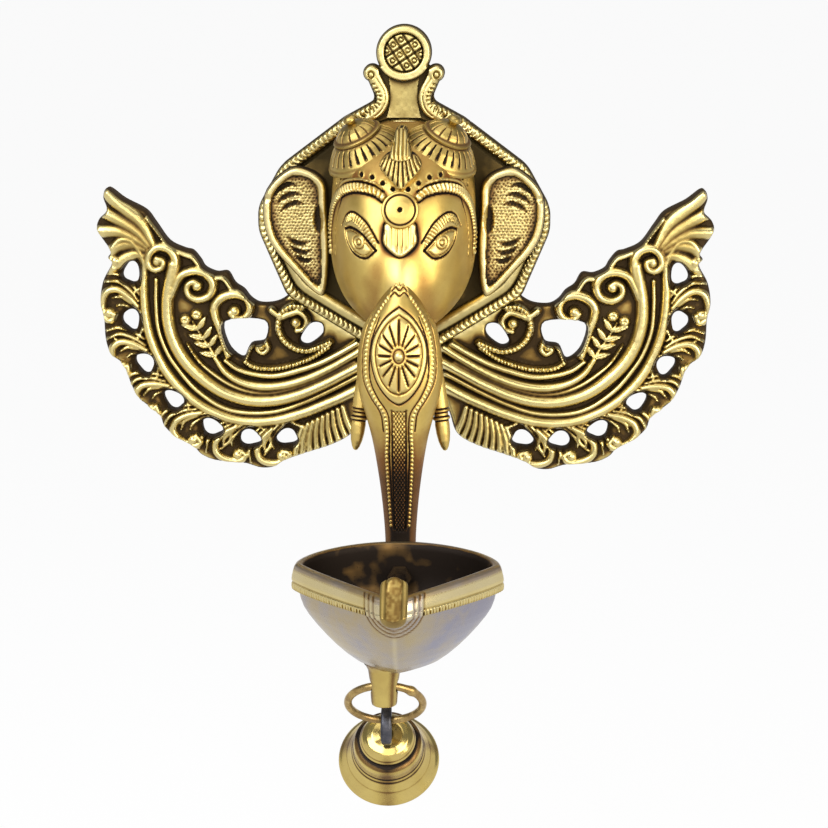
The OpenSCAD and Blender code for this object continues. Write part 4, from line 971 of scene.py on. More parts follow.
def headRelief():
    a, z = headRun.ravel(), headRings[:, :, 2].ravel()
    r = Relief(a, z, 0.0)
    rope, fore = head["rope"], np.ones(headRun.shape, bool)

    def flat(points, side=1):
        return ontoRings(headRings, headRun, fore, turnedTo(points, side))

    for side, hand in sides:
        r.ridge(flat([(x + 0.3, h + 2.6) if x < 22 else (x, h + 1.0) for x, h in rope[:5]], side), 0.45, 0.5, 0.0)
        r.groove(flat([(x - 0.4, h + 1.75) for x, h in rope[:5]], side), 0.4, 0.5)
        r.ridge(flat(rope, side), **head["ropeCut"])
        r.groove(flat([(x - 1.7, h - 0.6) if x > 20 else (x, h - 1.7) for x, h in rope], side), 0.4, 0.5)
        r.pits(flat(head["dots"], side), 0.85, 1.25, 0.15)
        brow, eyeTop, eyeLow = (flat(head[key], side) for key in ("brow", "eyeTop", "eyeLow"))
        eyeRelief(r, a, z, brow, eyeTop, eyeLow, flat([head["iris"]], side)[0])
    shape = insideDistance(a, z, smoothPath(flat(head["tongue"]), 6, True))
    flutes = 0.4 * unit(np.abs(np.sin((a + 0.9) * np.pi / 1.8)) * 2.2)
    r.h = np.where(shape > 0, 0.9 * unit(shape / 0.8) ** 0.5 + flutes * unit(shape), r.h)
    r.h = r.h - 0.5 * tent(shape, 0.4)
    down = unit((-64 - z) / 18)  # the brow swells into the root of the trunk
    nose = down * hump(a / (4.6 + 0.13 * np.clip(-64 - z, 0, 40)))
    r.h = r.h + 3.04 * nose * (3 * down**0.2 - 2 * down)
    return (r.h + 0.05 * waver(a, z, 5, 37)).reshape(headRun.shape)


lift = headRelief()
headY, headHeight = headRings[:, :, 1], headRings[:, :, 2]
headSunk = sunken(lift, np.ones(lift.shape), ((3, 0.8), (8, 0.4)))
headSunk += 0.1 * unit((-82 - headHeight) / 12) + 0.05 * unit((20 + headY) / 12)  # browner below and behind
headSunk += 0.12 * unit((headHeight + 45) / 4)  # and under the crown
headRings = headRings + ringNormals(headRings, False) * lift[:, :, None]
headCast = loftPiece("headCast", headRings, headSunk)
settle(headCast, "lamp", "brass", brass["mask"], "mask")
print("head", len(headCast.data.polygons))


# trunk

trunk = {
    "rows": [(-71, 1.4, -56.4, -48), (-75, 3.4, -59.2, -48), (-80, 5.8, -62.2, -47), (-84.5, 8.2, -64.7, -46.5),
             (-88, 10.4, -66.1, -46.4), (-92, 12.6, -67.4, -46.4), (-100, 14.2, -69, -46.4),
             (-108, 14.6, -69.5, -46.4), (-115, 13.6, -69, -46.8), (-122, 11.6, -67.6, -47), (-130, 9.6, -65.9, -47),
             (-140, 7.9, -63.4, -46.6), (-152, 6.4, -60.6, -45.5), (-165, 5.4, -58.4, -44.4),
             (-178, 5.2, -57.8, -44.2), (-184, 5.0, -57.6, -44.2), (-187, 4.0, -56.4, -45.2)],  # z, half, front, back
    "around": 246, "step": 0.35,
    "beads": [(3.6, -80.2), (8.0, -87.2), (10.8, -95.5), (11.4, -102.5), (11, -108.5), (8.6, -114), (5.2, -119.5),
              (4.2, -126), (4.4, -134), (4.1, -142), (3.5, -153), (3.0, -162)],
    "seam": [(2.4, -118.4), (2.4, -130), (2.3, -141), (2.1, -152), (1.9, -162)],
    "medal": [(0.6, -84.1), (5.2, -88), (8.6, -94.4), (9.3, -101), (7.6, -108), (4.2, -113.2), (0.9, -115.8)],
    "petals": [(0.6, -86.5), (4.4, -89.6), (7.2, -95), (7.8, -100.4), (6.2, -107), (3.4, -111), (0.8, -112.4)],
    "boss": (0, -99.6), "petalCount": 8, "squeeze": 0.78, "strip": (2.0, -118.5, -163),
}


def trunkOutline(half, front, back):
    t = np.linspace(0.5 * np.pi, 2.5 * np.pi, 500)
    return np.stack([half * np.cos(t), (front + back) / 2 + (back - front) / 2 * np.sin(t)], 1)


trunkZ = np.arange(trunk["rows"][0][0], trunk["rows"][-1][0] - 0.01, -trunk["step"])
trunkRings, trunkRun = ringStack(map(trunkOutline, *smoothRows(trunk["rows"], trunkZ)), trunkZ, trunk["around"], True)


def trunkRelief():
    a, z = trunkRun.ravel(), trunkRings[:, :, 2].ravel()
    r = Relief(a, z, 0.0)
    beads, fore = trunk["beads"], trunkRings[:, :, 1] < trunkRings[:, :, 1].mean(1, keepdims=True) + 1.0

    def flat(points, side=1):
        return ontoRings(trunkRings, trunkRun, fore, turnedTo(points, side))

    for side, hand in sides:
        r.beads(flat(beads, side), 0.62, 1.5, 0.5, 0.0)
        r.groove(flat([(x - (1.3 if x > 5 else 0.9), h) for x, h in beads[1:]], side), 0.32, 0.4)
        r.groove(flat([(x + 1.2, h) for x, h in beads[1:8]], side), 0.32, 0.35)
        r.groove(flat(trunk["seam"], side), 0.35, 0.5)
        for k in range(3):  # wrinkles at the root
            h = -76.6 - 1.7 * k
            r.groove(flat([(0.2, h), (1.2 + 0.3 * k, h + 1.0), (2.3 + 0.4 * k, h - 0.3)], side), 0.34, 0.5)
    outer, inner = (insideDistance(a, z, smoothPath(flat(half + turnedTo(half[::-1], -1)), 6, True))
                    for half in (trunk["medal"], trunk["petals"]))
    r.h = np.where(outer > 0, np.maximum(r.h * (outer < 0.6), 0.55 * unit(outer / 0.6) ** 0.5), r.h)
    r.h = r.h - 0.5 * tent(outer + 0.1, 0.4) - 0.55 * tent(inner, 0.42)
    across, up = a - trunk["boss"][0], (z - trunk["boss"][1]) * trunk["squeeze"]
    q, turn = np.hypot(across, up), np.arctan2(up, across)
    gap = q * np.arcsin(np.abs(np.sin(trunk["petalCount"] * turn))) / trunk["petalCount"]  # to the nearest cut
    tip = unit((inner - 0.5) / 0.8) * unit((q - 2.2) / 0.8)
    r.h = np.where(inner > 0, r.h + 0.25 * tip - 0.7 * dome(gap, 0.42, 0.6) * tip, r.h)
    r.boss(trunk["boss"], 1.5, 1.4, 0.4)
    r.h = r.h - 0.4 * tent(q - 1.8, 0.35)
    half, top, low = trunk["strip"]
    on = (np.abs(a) < half) & (z < top) & (z > low)
    for lean in (1, -1):
        r.h = np.where(on, r.h - 0.4 * comb((a + lean * z * 0.62) / 1.15, 0.5), r.h)
    return r.h.reshape(trunkRun.shape)


lift = trunkRelief()
trunkHeight = trunkRings[:, :, 2]
trunkSunk = sunken(lift, np.ones(lift.shape), ((3, 0.7), (8, 0.4)), True)
trunkSunk += 0.25 * unit((-120 - trunkHeight) / 24)  # browner towards the tip, most on the strip
trunkSunk += 0.26 * unit((-126 - trunkHeight) / 16) * hump(trunkRun / 3.6, 4)
# darker on the sides and back of the trunk: painted shade
trunkSunk += 0.12 * unit((np.abs(trunkRun) - 14) / 8)
trunkRings = trunkRings + ringNormals(trunkRings, True) * lift[:, :, None]
trunkCast = loftPiece("trunkCast", trunkRings, trunkSunk)
settle(trunkCast, "lamp", "brass", brass["mask"], "mask")
print("trunk", len(trunkCast.data.polygons))


# crown: two fluted caps and the pendant between them

crown = {
    "centre": (12.8, -27.6, -34.8), "radius": 14.0, "lean": 24.0, "nod": 19.0, "flutes": 26, "petals": 13,
    "around": 340, "gap": 0.4,
    "profile": [(0.3, -5), (0.99, -1.8), (1.04, -1.3), (1.03, -0.6), (0.985, 0.4), (0.89, 2.2), (0.78, 4.2),
                (0.67, 5.6), (0.6, 6.2), (0.62, 6.5), (0.63, 7.3), (0.6, 7.7), (0.53, 7.9), (0.5, 8.8), (0.42, 10.0),
                (0.3, 11.0), (0.17, 11.5), (0.1, 11.7), (0.13, 12.2), (0.165, 13.0), (0.16, 13.7), (0.11, 14.4),
                (0.02, 14.7)],  # radius as a share, height
    "tiers": [[(-1.6, -26), (1.6, -26), (2.6, -30), (3.6, -35), (0, -36.4), (-3.6, -35), (-2.6, -30)],
              [(-3.8, -33.6), (3.8, -33.6), (7.2, -37.4), (5.2, -41), (2.6, -43.6), (0, -45.9), (-2.6, -43.6),
               (-5.2, -41), (-7.2, -37.4)]],
    "slope": ([26, 31, 36, 41, 46], [38.6, 43.0, 46.0, 47.8, 49.4]), "back": 26.2, "step": 0.26,
}


def capShape(r, h, turn):
    share = turn / (2 * np.pi)
    lane = np.abs(share * crown["flutes"] % 1 - 0.5) * 2  # 0 in a slot, 1 midway to the next
    slot = dome(lane * np.pi * r / crown["flutes"], 0.3 + 0.06 * np.clip(6 - h, 0, 6), 0.5)
    petal = comb(share * crown["petals"], 0.26) ** 0.7
    skirt = unit((h - 1.5) / 0.4) * unit((6.0 - h) / 0.8)
    tier = unit((h - 7.9) / 0.4) * unit((11.3 - h) / 0.8)
    sunk = 0.7 * skirt * slot + 0.5 * tier * petal
    seam = 0.6 * tent(h - 6.25, 0.4) + 0.4 * tent(h - 7.85, 0.35)
    # a groove at the rim, darkened as painted shade where the cap sits on the head
    edge = 0.3 * tent(h - 0.2, 0.35)
    return r - sunk - edge, h - 0.3 * sunk, 0.8 * sunk + 0.7 * seam + 0.8 * edge - 0.1


capProfile = fineProfile([(a * crown["radius"], b) for a, b in crown["profile"]], crown["gap"])
capLean, capNod = math.radians(crown["lean"]), math.radians(crown["nod"])
for side, hand in sides:
    axis = (side * math.sin(capLean), -math.sin(capNod) * math.cos(capLean), math.cos(capNod) * math.cos(capLean))
    capFrame = aimed(turnedTo([crown["centre"]], side)[0], axis)
    cap = lathePiece("crownCap" + hand, capProfile, crown["around"], capFrame, capShape)
    settle(cap, "lamp", "brass", brass["crown"], "mask")
tierOutlines = [smoothPath(p, 5, True) for p in crown["tiers"]]


def pendantInside(x, z):
    return np.maximum(insideDistance(x, z, tierOutlines[0]), insideDistance(x, z, tierOutlines[1]))


def pendantFront(x, z):
    slope = np.interp(-z, *crown["slope"])
    upper, lower = (insideDistance(x, z, outline) for outline in tierOutlines)
    fan = np.arctan2(x, -(z + 24.0))
    one = slope + 1.6 + 1.2 * unit(upper / 2) ** 0.5 - 0.7 * comb(x / 1.5, 0.5) * (upper > 0.3)
    two = slope + 0.4 + 1.2 * unit(lower / 2) ** 0.5 - 0.75 * comb(fan / 0.098, 0.5) * (lower > 0.4)
    return np.where(upper > 0, one, two)


def pendantBack(x, z):
    return np.full(x.shape, crown["back"])


def pendantShade(x, z):  # the steep upper end and the side walls stay golden
    return -0.5 * unit((z + 40) / 10) - 0.45 * unit(1 - pendantInside(x, z) / 0.8)


pendant = castRelief("crownPendant", pendantInside, pendantFront, pendantBack, (-8, 8, -47, -25), crown["step"], 0.9,
                     shade=pendantShade, backTone=-0.02)
settle(pendant, "lamp", "brass", brass["crown"], "mask")


# forehead disc and tusks

jewel = {
    "at": (0, -51.85, -52.72), "tilt": 76.0, "around": 120, "gap": 0.25,
    "profile": [(3.0, -2.0), (6.1, -0.4), (6.35, 0.4), (6.35, 2.4), (6.05, 2.95), (5.6, 3.1), (5.3, 2.85), (5.0, 2.85),
                (4.7, 3.1), (3.0, 3.45), (1.3, 3.6), (0.95, 3.5), (0.8, 2.9), (0.5, 2.4), (0.05, 2.3)],
}


def jewelShape(r, h, turn):
    seam = 0.7 * tent(r - 5.1, 0.45) * (h > 2) + 0.9 * unit(1.1 - r) * (h < 2.95) * (h > 1)
    return r, h, seam - 0.05


jewelTilt = math.radians(jewel["tilt"])
jewelFrame = aimed(jewel["at"], (0, -math.sin(jewelTilt), math.cos(jewelTilt)))
jewelProfile = fineProfile(jewel["profile"], jewel["gap"])
jewelDisc = lathePiece("jewelDisc", jewelProfile, jewel["around"], jewelFrame, jewelShape)
settle(jewelDisc, "lamp", "brass", brass["mask"], "jewel")

tusk = {
    "at": (12.6, -51.4, -111.4), "splay": 7.0, "fore": 5.0, "around": 72, "gap": 0.35,
    "grooves": (9.3, 10.6, 12.0, 13.4),
    "profile": [(1.6, -6), (2.2, -5), (2.45, -1), (2.6, 2), (2.75, 6), (2.8, 9), (2.45, 9.4), (2.95, 9.9), (2.95, 10.4),
                (2.4, 10.7), (2.4, 11.8), (2.9, 12.2), (2.9, 12.9), (2.3, 13.4), (2.45, 15), (2.3, 18), (1.9, 20.6),
                (1.3, 22.6), (0.7, 23.7), (0.1, 24)],
}


def tuskShape(r, h, turn):
    seam = sum(0.8 * tent(h - at, 0.45) for at in tusk["grooves"])
    return r * (1 + 0.03 * np.cos(2 * turn)), h, seam - 0.08


tuskProfile = fineProfile(tusk["profile"], tusk["gap"])
tuskSplay, tuskFore = math.radians(tusk["splay"]), math.radians(tusk["fore"])
for side, hand in sides:
    axis = (side * math.sin(tuskSplay), -math.sin(tuskFore), -math.cos(tuskSplay) * math.cos(tuskFore))
    tuskFrame = aimed(turnedTo([tusk["at"]], side)[0], axis)
    tuskTurned = lathePiece("tuskTurned" + hand, tuskProfile, tusk["around"], tuskFrame, tuskShape)
    settle(tuskTurned, "lamp", "brass", brass["mask"], "tusk_" + hand.lower())
print("crown, disc and tusks")


# bowl

bowl = {
    "middle": (0, -84), "half": 34.5, "back": 27.0, "front": 36.0, "prow": (1.16, 1.24), "rim": -167.5,
    "height": 35.0, "wall": 2.6, "belt": 9.0, "around": 660, "mill": 150, "notch": (3.0, 1.2), "dip": 2.2,
    "shares": [0, 0.015, 0.05, 0.12, 0.21, 0.3, 0.4, 0.5, 0.58, 0.66, 0.75, 1],  # height as a share, from below
    "hull": [0.24, 0.33, 0.425, 0.525, 0.63, 0.72, 0.81, 0.89, 0.94, 0.97, 0.99, 1.0],  # plan as a share there
    "collarZ": -173.4, "collars": [(9.3, 0.7), (7.7, 1.4), (6.1, 2.1)],  # radius, rise
    "beltRows": [(-0.9, 9.0, 0.2), (-0.2, 9.0, 0.7), (0.5, 8.9, 1.0), (0.95, 8.5, 1.0), (1.1, 7.9, 1.0),
                 (1.15, 7.3, 0.9), (1.15, 6.9, 0.3), (1.1, 6.5, 0.0), (0.75, 6.2, 0.0), (0.75, 5.9, 0.0),
                 (1.0, 5.5, 0.0), (1.05, 5.0, 0.0), (1.0, 4.4, 0.0), (0.9, 3.8, 0.0), (0.75, 3.2, 0.0),
                 (0.6, 2.5, 0.0), (0.45, 1.9, 0.0), (0.3, 1.4, 0.0), (0.15, 0.9, 0.0), (-0.2, 0.3, 0.0),
                 (-0.8, 0.0, 0.0), (-1.6, -0.1, 0.0), (-2.4, 0.0, 0.0), (-3.0, 0.45, 0.0)],  # growth, depth, milling
}


def bowlPlan(scale, grow, power):
    t = np.linspace(0, 2 * np.pi, 3001)[:-1]
    fore = np.sin(t) > 0
    rise, run = np.abs(np.sin(t)), np.cos(t)
    x = np.where(fore, np.sign(run) * np.abs(run) ** (2 / power), run) * (bowl["half"] * scale + grow)
    y = np.where(fore, -(rise ** (2 / power)) * (bowl["front"] * scale + grow), rise * (bowl["back"] * scale + grow))
    ring = np.stack([x, y], 1)
    for turn in range(22):  # takes the sharpness off the prow and the two corners
        ring = (np.roll(ring, 1, 0) + 2 * ring + np.roll(ring, -1, 0)) / 4
    ring = ring + [0, bowl["middle"][1]]
    ring, run = evenRing(np.vstack([ring, ring[:1]]), bowl["around"] + 1)
    return ring[:-1], run[:-1]


def swell(share):
    return float(np.interp(share, bowl["shares"], bowl["hull"]))


def bowlRing(scale, grow, depth, mill, inner):  # points, tarnish and plating of one row
    top, low = bowl["prow"]
    line, run = bowlPlan(max(scale, 0.05), grow, top + (low - top) * max(0.0, depth) / bowl["height"])
    outside, nearRim = 1 - inner, unit((bowl["belt"] - depth) / bowl["belt"])
    out = line - np.array(bowl["middle"], float)
    out /= np.linalg.norm(out, axis=1, keepdims=True)
    front = unit((bowl["middle"][1] - line[:, 1]) / bowl["front"])
    level = bowl["rim"] - depth - bowl["dip"] * front**2 * nearRim
    reach = np.hypot(line[:, 0], np.minimum(0, level - bowl["collarZ"]))  # from the middle of the collars
    under = (front > 0.3) * outside * (grow > -0.6 or depth > 5)
    rise, seam = np.zeros(len(line)), np.zeros(len(line))
    for radius, step in bowl["collars"]:
        rise = np.maximum(rise, step * unit((radius - reach) / 0.35 + 0.5) * under)
        seam = np.maximum(seam, tent(reach - radius - 0.35, 0.55) * under)
    bare = unit((bowl["collars"][0][0] - reach) / 0.3) * under
    tooth = mill * comb(run / (run[-1] - run[0]) * bowl["mill"], 0.5) * (1 - bare)
    line = line + out * (rise - 0.8 * tooth)[:, None]
    x, y = line.T
    rear = unit((y - bowl["middle"][1]) / bowl["back"])
    arch = 1.2 * np.cos(np.clip(x / bowl["half"], -1, 1) * np.pi / 2) * rear * unit((12 - depth) / 12)
    wide, deep = bowl["notch"]
    gate = deep * hump(x / wide, 4) * (y < -100) * nearRim
    stain = waver(x + 5, y + 1.7 * depth, 7, 41) + 0.7 * waver(x, y - depth, 2.4, 43)
    soot = 0.93 + 0.24 * stain - 0.24 * hump((x + 9) / 9) * rear
    # outside, the rim top darker as a painted dark reflection and the belt lighter and rubbed bright as a painted
    # highlight
    sunk = 0.6 * tooth + inner * soot + 0.6 * seam + outside * (0.2 * (depth < 1.6) - 0.26 * (2 < depth < 8.5))
    if 8.95 < depth < 9.6 or 5.8 < depth < 6.3:  # lines below and above the milling
        sunk = sunk + 0.4 * (1 - bare)
    sunk = sunk - 0.16 * hump(x / 0.8) * (front > 0.3) * (depth > 9.6) * outside * (1 - bare)  # painted highlight along the keel of the prow
    # less plating on the face right of the keel: a painted warm reflection there
    warm = 0.5 * hump((x - 7) / 7) * front * (1 - bare)
    plated = 1.0 if depth > 9.3 and outside else 0.7 if depth < 1.6 else 0.3 if depth < 4.5 else 0.0
    return np.column_stack([line, level + arch - gate]), sunk, (1 - warm) * np.maximum(0.75 * bare, plated)


bowlRows = []  # scale, growth, depth below the rim, milling, inside
hullRows, wellRows, wellDepth = 58, 21, bowl["height"] - bowl["wall"]
for k in range(hullRows):
    share = 0.012 + 0.988 * (k / (hullRows - 1)) ** 1.35
    depth = bowl["height"] - share * (bowl["height"] - bowl["belt"])
    bowlRows.append((swell((bowl["height"] - depth) / bowl["height"]), -1.0, depth, 0.0, 0.0))
lastScale = bowlRows[-1][0]
for grow, depth, mill in bowl["beltRows"]:
    bowlRows.append((1.0 if depth < bowl["belt"] else lastScale, grow, depth, mill, 0.0 if grow > -2.5 else 1.0))
for k in range(1, wellRows + 1):
    share = 1 - k / wellRows
    depth = wellDepth - share * (wellDepth - 0.7)
    bowlRows.append((swell(max(0.0005, share)), -3.1 * min(1, 0.25 + share), depth, 0.0, 1.0))
bowlRings, bowlSunk, bowlPlating = (np.array(part) for part in zip(*(bowlRing(*row) for row in bowlRows)))
bowlShell = loftPiece("bowlShell", bowlRings, bowlSunk, 55, None, bowlPlating)
settle(bowlShell, "lamp", "dark_brass", brass["bowl"], "bowl")

spout = {
    "from": (0, -113.9, -165.6), "slope": 36.0, "trough": 2.6,
    "nozzle": [(-1.6, 1.2), (-1.3, 2.4), (-0.6, 3.4), (0.4, 4.1), (1.4, 4.4), (7.0, 4.5), (13.0, 4.4), (14.6, 4.2),
               (15.3, 3.8), (15.6, 3.3)],  # run, radius
    "sag": ([-1.6, 1.0, 5.0, 14.0], [-0.7, -0.6, 0.1, 0.22]), "lip": 1.3, "under": 49, "channel": 25,
    "gap": 0.4,
}
spoutFall = math.radians(spout["slope"])
spoutAlong = np.array([0, -math.cos(spoutFall), -math.sin(spoutFall)])
spoutUp = np.array([0, -math.sin(spoutFall), math.cos(spoutFall)])


def nozzleSection(radius, at):
    inner, lip, sag = spout["trough"], spout["lip"], float(np.interp(at, *spout["sag"]))
    edge = [(radius, 0.9), (radius - 0.35, lip), ((radius + inner) / 2, 1.4), (inner + 0.35, lip), (inner, 1.0)]
    under = np.linspace(np.pi, 2 * np.pi, spout["under"])
    channel = np.linspace(0, -np.pi, spout["channel"])
    line = [(radius * math.cos(t), radius * math.sin(t)) for t in under] + edge
    line += [(inner * math.cos(t), 1.0 + sag * inner * math.sin(t)) for t in channel]
    return np.array(line + turnedTo(edge[::-1], -1))


nozzleSteps = fineProfile(spout["nozzle"], spout["gap"])
nozzleRings = []
for at, radius in nozzleSteps:
    section = nozzleSection(radius, at) * min(1.0, radius / 4.0)
    middle = np.array(spout["from"], float) + spoutAlong * at
    nozzleRings.append(middle + section[:, :1] * [1, 0, 0] + section[:, 1:] * spoutUp)
nozzleRings = np.array(nozzleRings)
nozzleSunk = np.full(nozzleRings.shape[:2], 0.08)
channelStart = spout["under"] + 5
rows, columns = np.meshgrid(np.arange(len(nozzleSteps)), np.arange(spout["channel"]), indexing="ij")
# darker and mottled inside the channel: partly painted shade there, partly a random mottle
nozzleSunk[:, channelStart:channelStart + spout["channel"]] = 0.15 + 0.12 * waver(rows * 0.4, columns * 0.3, 0.8, 47)
spoutCast = loftPiece("spoutCast", nozzleRings, nozzleSunk, 40)
settle(spoutCast, "lamp", "dark_brass", brass["wing"], "bowl")

lug = {
    "at": (-4.5, -85, -209.5), "top": -200.9, "hole": 2.69, "crease": 35, "around": 90, "gap": 0.4,
    "profile": [(0.2, -216.2), (3.7, -216.2), (4.2, -215.85), (4.4, -215.1), (5.0, -207), (5.5, -203.6), (6.2, -202.4),
                (7.2, -201.6), (7.5, -201.2), (3, -200.9)],
    "shadeBands": [(306, 13, 0.17), (200, 20, 0.17), (345, 12, 0.12), (90, 30, 0.1)],
}


def lugShape(r, h, turn):  # the flare follows the underside of the bowl
    x = np.abs(lug["at"][0] + r * np.cos(turn)) / bowl["half"]
    y = lug["at"][1] + r * np.sin(turn) - bowl["middle"][1]
    y = np.where(y < 0, -y / bowl["front"], y / bowl["back"])
    power = bowl["prow"][1]
    scale = (x**power + y**power) ** (1 / power) + 0.03
    hull = bowl["rim"] - bowl["height"] * (1 - np.interp(scale, bowl["hull"][:6], bowl["shares"][:6]))
    lift = unit((h + 206) / (206 + lug["top"])) ** 2
    # painted shade at the top where the lug meets the bowl, and painted dark reflection bands down its sides
    paintedShade = 0.25 * unit((h + 202.4) / 1.2) + paintedBands(turn, lug["shadeBands"])
    return r, h + lift * (hull + 0.9 - lug["top"]), paintedShade


lugPlace = Matrix.Translation((lug["at"][0], lug["at"][1], 0))
lugProfile = fineProfile(lug["profile"], lug["gap"])
lugBody = lathePiece("lugBody", lugProfile, lug["around"], lugPlace, lugShape, lug["crease"])
drillProfile = [(0.01, -12), (lug["hole"], -12), (lug["hole"], 12), (0.01, 12)]
drill = lathePiece("lugDrill", drillProfile, 48, aimed(lug["at"], (1, 0, 0)))
cutter = lugBody.modifiers.new("ringHole", "BOOLEAN")
cutter.object, cutter.operation, cutter.solver = drill, "DIFFERENCE", "EXACT"
bored = bpy.data.meshes.new_from_object(lugBody.evaluated_get(bpy.context.evaluated_depsgraph_get()))
lugBody.modifiers.clear()
lugBody.data = bored
bored.polygons.foreach_set("use_smooth", np.ones(len(bored.polygons), bool))
bored.set_sharp_from_angle(angle=math.radians(lug["crease"]))
bpy.data.objects.remove(drill)
settle(lugBody, "lamp", "dark_brass", brass["bell"], "bowl")
print("bowl", len(bowlShell.data.polygons))


# ring, loop and bell

ring = {"pivot": (-4.5, -67.217, -227.915), "radius": 12.8, "wire": 1.34, "lean": 44.0, "rows": 220,
        "around": 28, "lap": (45, 7.0, 0.42)}  # turn, width, growth
pivotPoint = Vector(ring["pivot"])
bellWay, ringSide = Vector((0, 0.70711, -0.70711)), Vector((1, 0, 0))
bellAcross = bellWay.cross(ringSide)
ringLean = math.radians(ring["lean"])
ringDown = Vector((0, math.sin(ringLean), -math.cos(ringLean)))


def circlePath(middle, a, b, radius, count):
    return [tuple(middle + (a * math.cos(t) + b * math.sin(t)) * radius) for t in fullTurn(count)]


ringMiddle = Vector(lug["at"]) + ringDown * ring["radius"]
ringPath = circlePath(ringMiddle, ringSide, -ringDown, ring["radius"], ring["rows"])
lapTurn, lapWidth, lapGrowth = ring["lap"]
lap = hump((np.degrees(fullTurn(ring["rows"])) - lapTurn) / lapWidth)
ringWire = sweepPiece("ringWire", ringPath, ring["wire"] + lapGrowth * lap, ring["around"])
settle(ringWire, "ring", "dark_brass", brass["ring"], "ring")

link = {"hang": 3.4, "radius": 6.2, "half": 1.75, "thick": 0.95, "shank": 1.0, "eye": 2.2, "eyeDrop": 16.8,
        "rows": 120, "around": 24, "eyeRows": 64, "eyeAround": 18, "shankAround": 28, "gap": 0.4}


def rounded(value, power):
    return np.sign(value) * abs(value) ** power


linkRings = []
for t in fullTurn(link["rows"]):  # flat strip bent round the ring's wire
    out = bellWay * math.cos(t) + bellAcross * math.sin(t)
    middle = pivotPoint + bellWay * link["hang"] + out * link["radius"]
    wide = link["half"] * (1 + 0.1 * math.cos(t - 2.4))
    linkRings += [tuple(middle + ringSide * wide * rounded(math.cos(s), 0.55)
                        + out * link["thick"] * rounded(math.sin(s), 0.7)) for s in fullTurn(link["around"])]
linkFaces = ringFaces(link["rows"], link["around"], "joined")
linkStrip = pieceFrom("linkStrip", linkRings, linkFaces, np.zeros(len(linkRings)), 40, None, True)
settle(linkStrip, "loop", "iron", darkIron, "bell_loop")
shankLength = link["eyeDrop"] - link["hang"] - link["radius"] - link["eye"]
shankFrame = aimed(tuple(pivotPoint + bellWay * (link["hang"] + link["radius"])), tuple(bellWay), (1, 0, 0))
shankProfile = [(0.05, -0.5), (1.5, -0.4), (1.6, 0.3), (link["shank"], 1.0), (link["shank"], shankLength + 0.3),
                (0.05, shankLength + 0.5)]
linkShank = lathePiece("linkShank", fineProfile(shankProfile, link["gap"]), link["shankAround"], shankFrame)
settle(linkShank, "loop", "iron", darkIron, "bell_loop")
eyePath = circlePath(pivotPoint + bellWay * link["eyeDrop"], bellWay, bellAcross, link["eye"], link["eyeRows"])
linkEye = sweepPiece("linkEye", eyePath, np.full(link["eyeRows"], link["shank"]), link["eyeAround"])
settle(linkEye, "loop", "iron", darkIron, "bell_loop")

bell = {
    "top": 10.9, "height": 21.0, "radius": 18.0, "wall": 2.0, "around": 144, "gap": 0.45,
    "shadeBands": [(0, 13, 0.15), (252, 17, 0.19), (103, 10, 0.15), (205, 8, 0.08), (48, 6, 0.05)],
    "lines": [(0.25, 1.1, 0.9), (0.31, 0.5, 0.25), (0.55, 0.5, 0.5), (0.625, 0.6, 0.5), (0.16, 0.3, 0.2),
              (0.8, 0.4, 0.12)],  # depth as a share, width, strength
    "outer": [(0.02, 0.0), (0.14, 0.005), (0.3, -0.02), (0.42, -0.06), (0.5, -0.12), (0.55, -0.2), (0.55, -0.235),
              (0.52, -0.25), (0.525, -0.27), (0.6, -0.285), (0.655, -0.32), (0.68, -0.38), (0.685, -0.46),
              (0.69, -0.53), (0.7, -0.545), (0.695, -0.56), (0.715, -0.6), (0.725, -0.615), (0.72, -0.63),
              (0.76, -0.7), (0.83, -0.8), (0.92, -0.9), (0.985, -0.955), (1.0, -0.975), (1.0, -1.0)],
}


def bellShape(r, h, turn):
    seam = sum(dark * tent(h + at * bell["height"], wide) for at, wide, dark in bell["lines"])
    seam = seam + 0.1 * tent(h / bell["height"] + 0.47, 0.16)  # dull middle tier
    # painted dark reflection bands down the skirt
    return r, h, seam + paintedBands(turn, bell["shadeBands"]) * unit(-h / 3) - 0.05


bellProfile = [(a * bell["radius"], b * bell["height"]) for a, b in bell["outer"]]
bellProfile += [(bell["radius"] - 0.8, -bell["height"] - 0.05)]
bellProfile += [(max(0.3, a * bell["radius"] - bell["wall"]),
                 min(b * bell["height"], 0.0) - (bell["wall"] if a < 0.5 else 0.6)) for a, b in bell["outer"][-2::-1]]
bellFrame = aimed(tuple(pivotPoint + bellWay * bell["top"]), tuple(-bellWay), (1, 0, 0))
bellProfile = fineProfile(bellProfile, bell["gap"])
bellTurned = lathePiece("bellTurned", bellProfile, bell["around"], bellFrame, bellShape)
settle(bellTurned, "bell", "brass", brass["bell"], "bell")
print("bell", len(bellTurned.data.polygons))

# CAD parts that keep their shape
for name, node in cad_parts.items():
    if node.hide_render:
        continue
    finish = darkIron if any(s.name.startswith("iron") for s in node.material_slots) else brass["cast"]
    finish = brass["soot"] if name in ("bowl_nut", "bowl_screw") else finish
    for place in node.material_slots:
        place.material = finish


# stage

stageLook = {"floorZ": -345.0, "white": 0.94, "world": 0.32, "around": 96, "aim": (0, -30, -110),
             "rim": [(8000, 0), (8600, 40), (9000, 200), (9200, 600), (9250, 2400)]}  # radius, height


def floorFinish():
    material, w = startMaterial("studioFloor")
    eye, glossy, through = (w.node("LightPath", out="Is " + kind + " Ray")
                            for kind in ("Camera", "Glossy", "Transmission"))
    glow = w.node("Emission", None, {"Color": rgb(1, 1, 1), "Strength": 1.0})
    paint = w.node("BsdfDiffuse", None, {"Color": rgb(0.86, 0.86, 0.86)})
    seen = (eye + glossy + through).clamped() * stageLook["white"]
    closeMaterial(w, w.node("MixShader", None, {0: seen, 1: paint, 2: glow}))
    return material


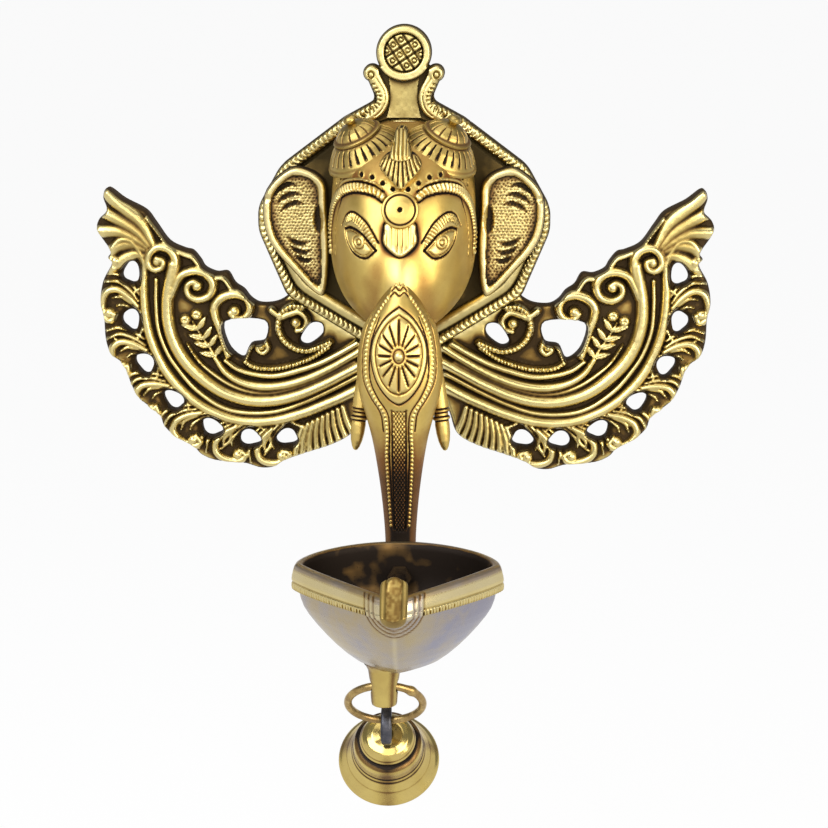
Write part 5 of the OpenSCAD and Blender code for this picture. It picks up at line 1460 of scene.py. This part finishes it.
floorVerts = [(r * math.cos(t), r * math.sin(t), stageLook["floorZ"] + h) for r, h in stageLook["rim"]
              for t in fullTurn(stageLook["around"])]
floorFaces = [list(range(stageLook["around"]))] + ringFaces(len(stageLook["rim"]), stageLook["around"], "open")
floor = pieceFrom("studioFloor", floorVerts, floorFaces)
floor.data.materials.append(floorFinish())

world = bpy.data.worlds.new("studioWorld")
world.use_nodes = True
world.node_tree.nodes["Background"].inputs["Color"].default_value = rgb(0.92, 0.95, 1.0)
world.node_tree.nodes["Background"].inputs["Strength"].default_value = stageLook["world"]
bpy.context.scene.world = world

lamps = {  # place, size, power, colour
    "keyLight": ((-420, -620, 420), 720, 8.9, (0.93, 0.96, 1.0)),
    "fillLight": ((520, -560, 60), 520, 5.6, (1.0, 0.93, 0.8)),
    "topLight": ((60, -120, 720), 760, 3.0, (1.0, 0.98, 0.94)),
    "frontLight": ((40, -1250, 190), 700, 3.4, (1.0, 0.98, 0.94)),
}
for name, (at, size, power, colour) in lamps.items():
    lamp = bpy.data.lights.new(name, "AREA")
    lamp.shape, lamp.size, lamp.size_y = "RECTANGLE", size * mm, size * mm
    lamp.energy, lamp.color = power, colour
    body = bpy.data.objects.new(name, lamp)
    body.rotation_euler = (Vector(stageLook["aim"]) - Vector(at)).to_track_quat("-Z", "Y").to_euler()
    body.location = Vector(at) * mm
    bpy.context.scene.collection.objects.link(body)

camera = {"target": (4.1, -30.0, -127.1), "azimuth": 1.5, "elevation": 11.5, "distance": 800.0, "lens": 98.26,
          "sensor": 36.0}
azimuth, elevation = math.radians(camera["azimuth"]), math.radians(camera["elevation"])
across = Vector((math.cos(azimuth), math.sin(azimuth), 0))
level = math.cos(elevation)
toCamera = Vector((math.sin(azimuth) * level, -math.cos(azimuth) * level, math.sin(elevation)))
lens = bpy.data.cameras.new("photoCamera")
lens.lens, lens.sensor_width = camera["lens"], camera["sensor"]
photoCamera = bpy.data.objects.new("photoCamera", lens)
cameraFrame = Matrix((across, toCamera.cross(across), toCamera)).transposed().to_4x4()
cameraFrame.translation = (Vector(camera["target"]) + toCamera * camera["distance"]) * mm
photoCamera.matrix_world = cameraFrame
bpy.context.scene.collection.objects.link(photoCamera)
bpy.context.scene.camera = photoCamera
bpy.context.scene.view_settings.view_transform = "Standard"
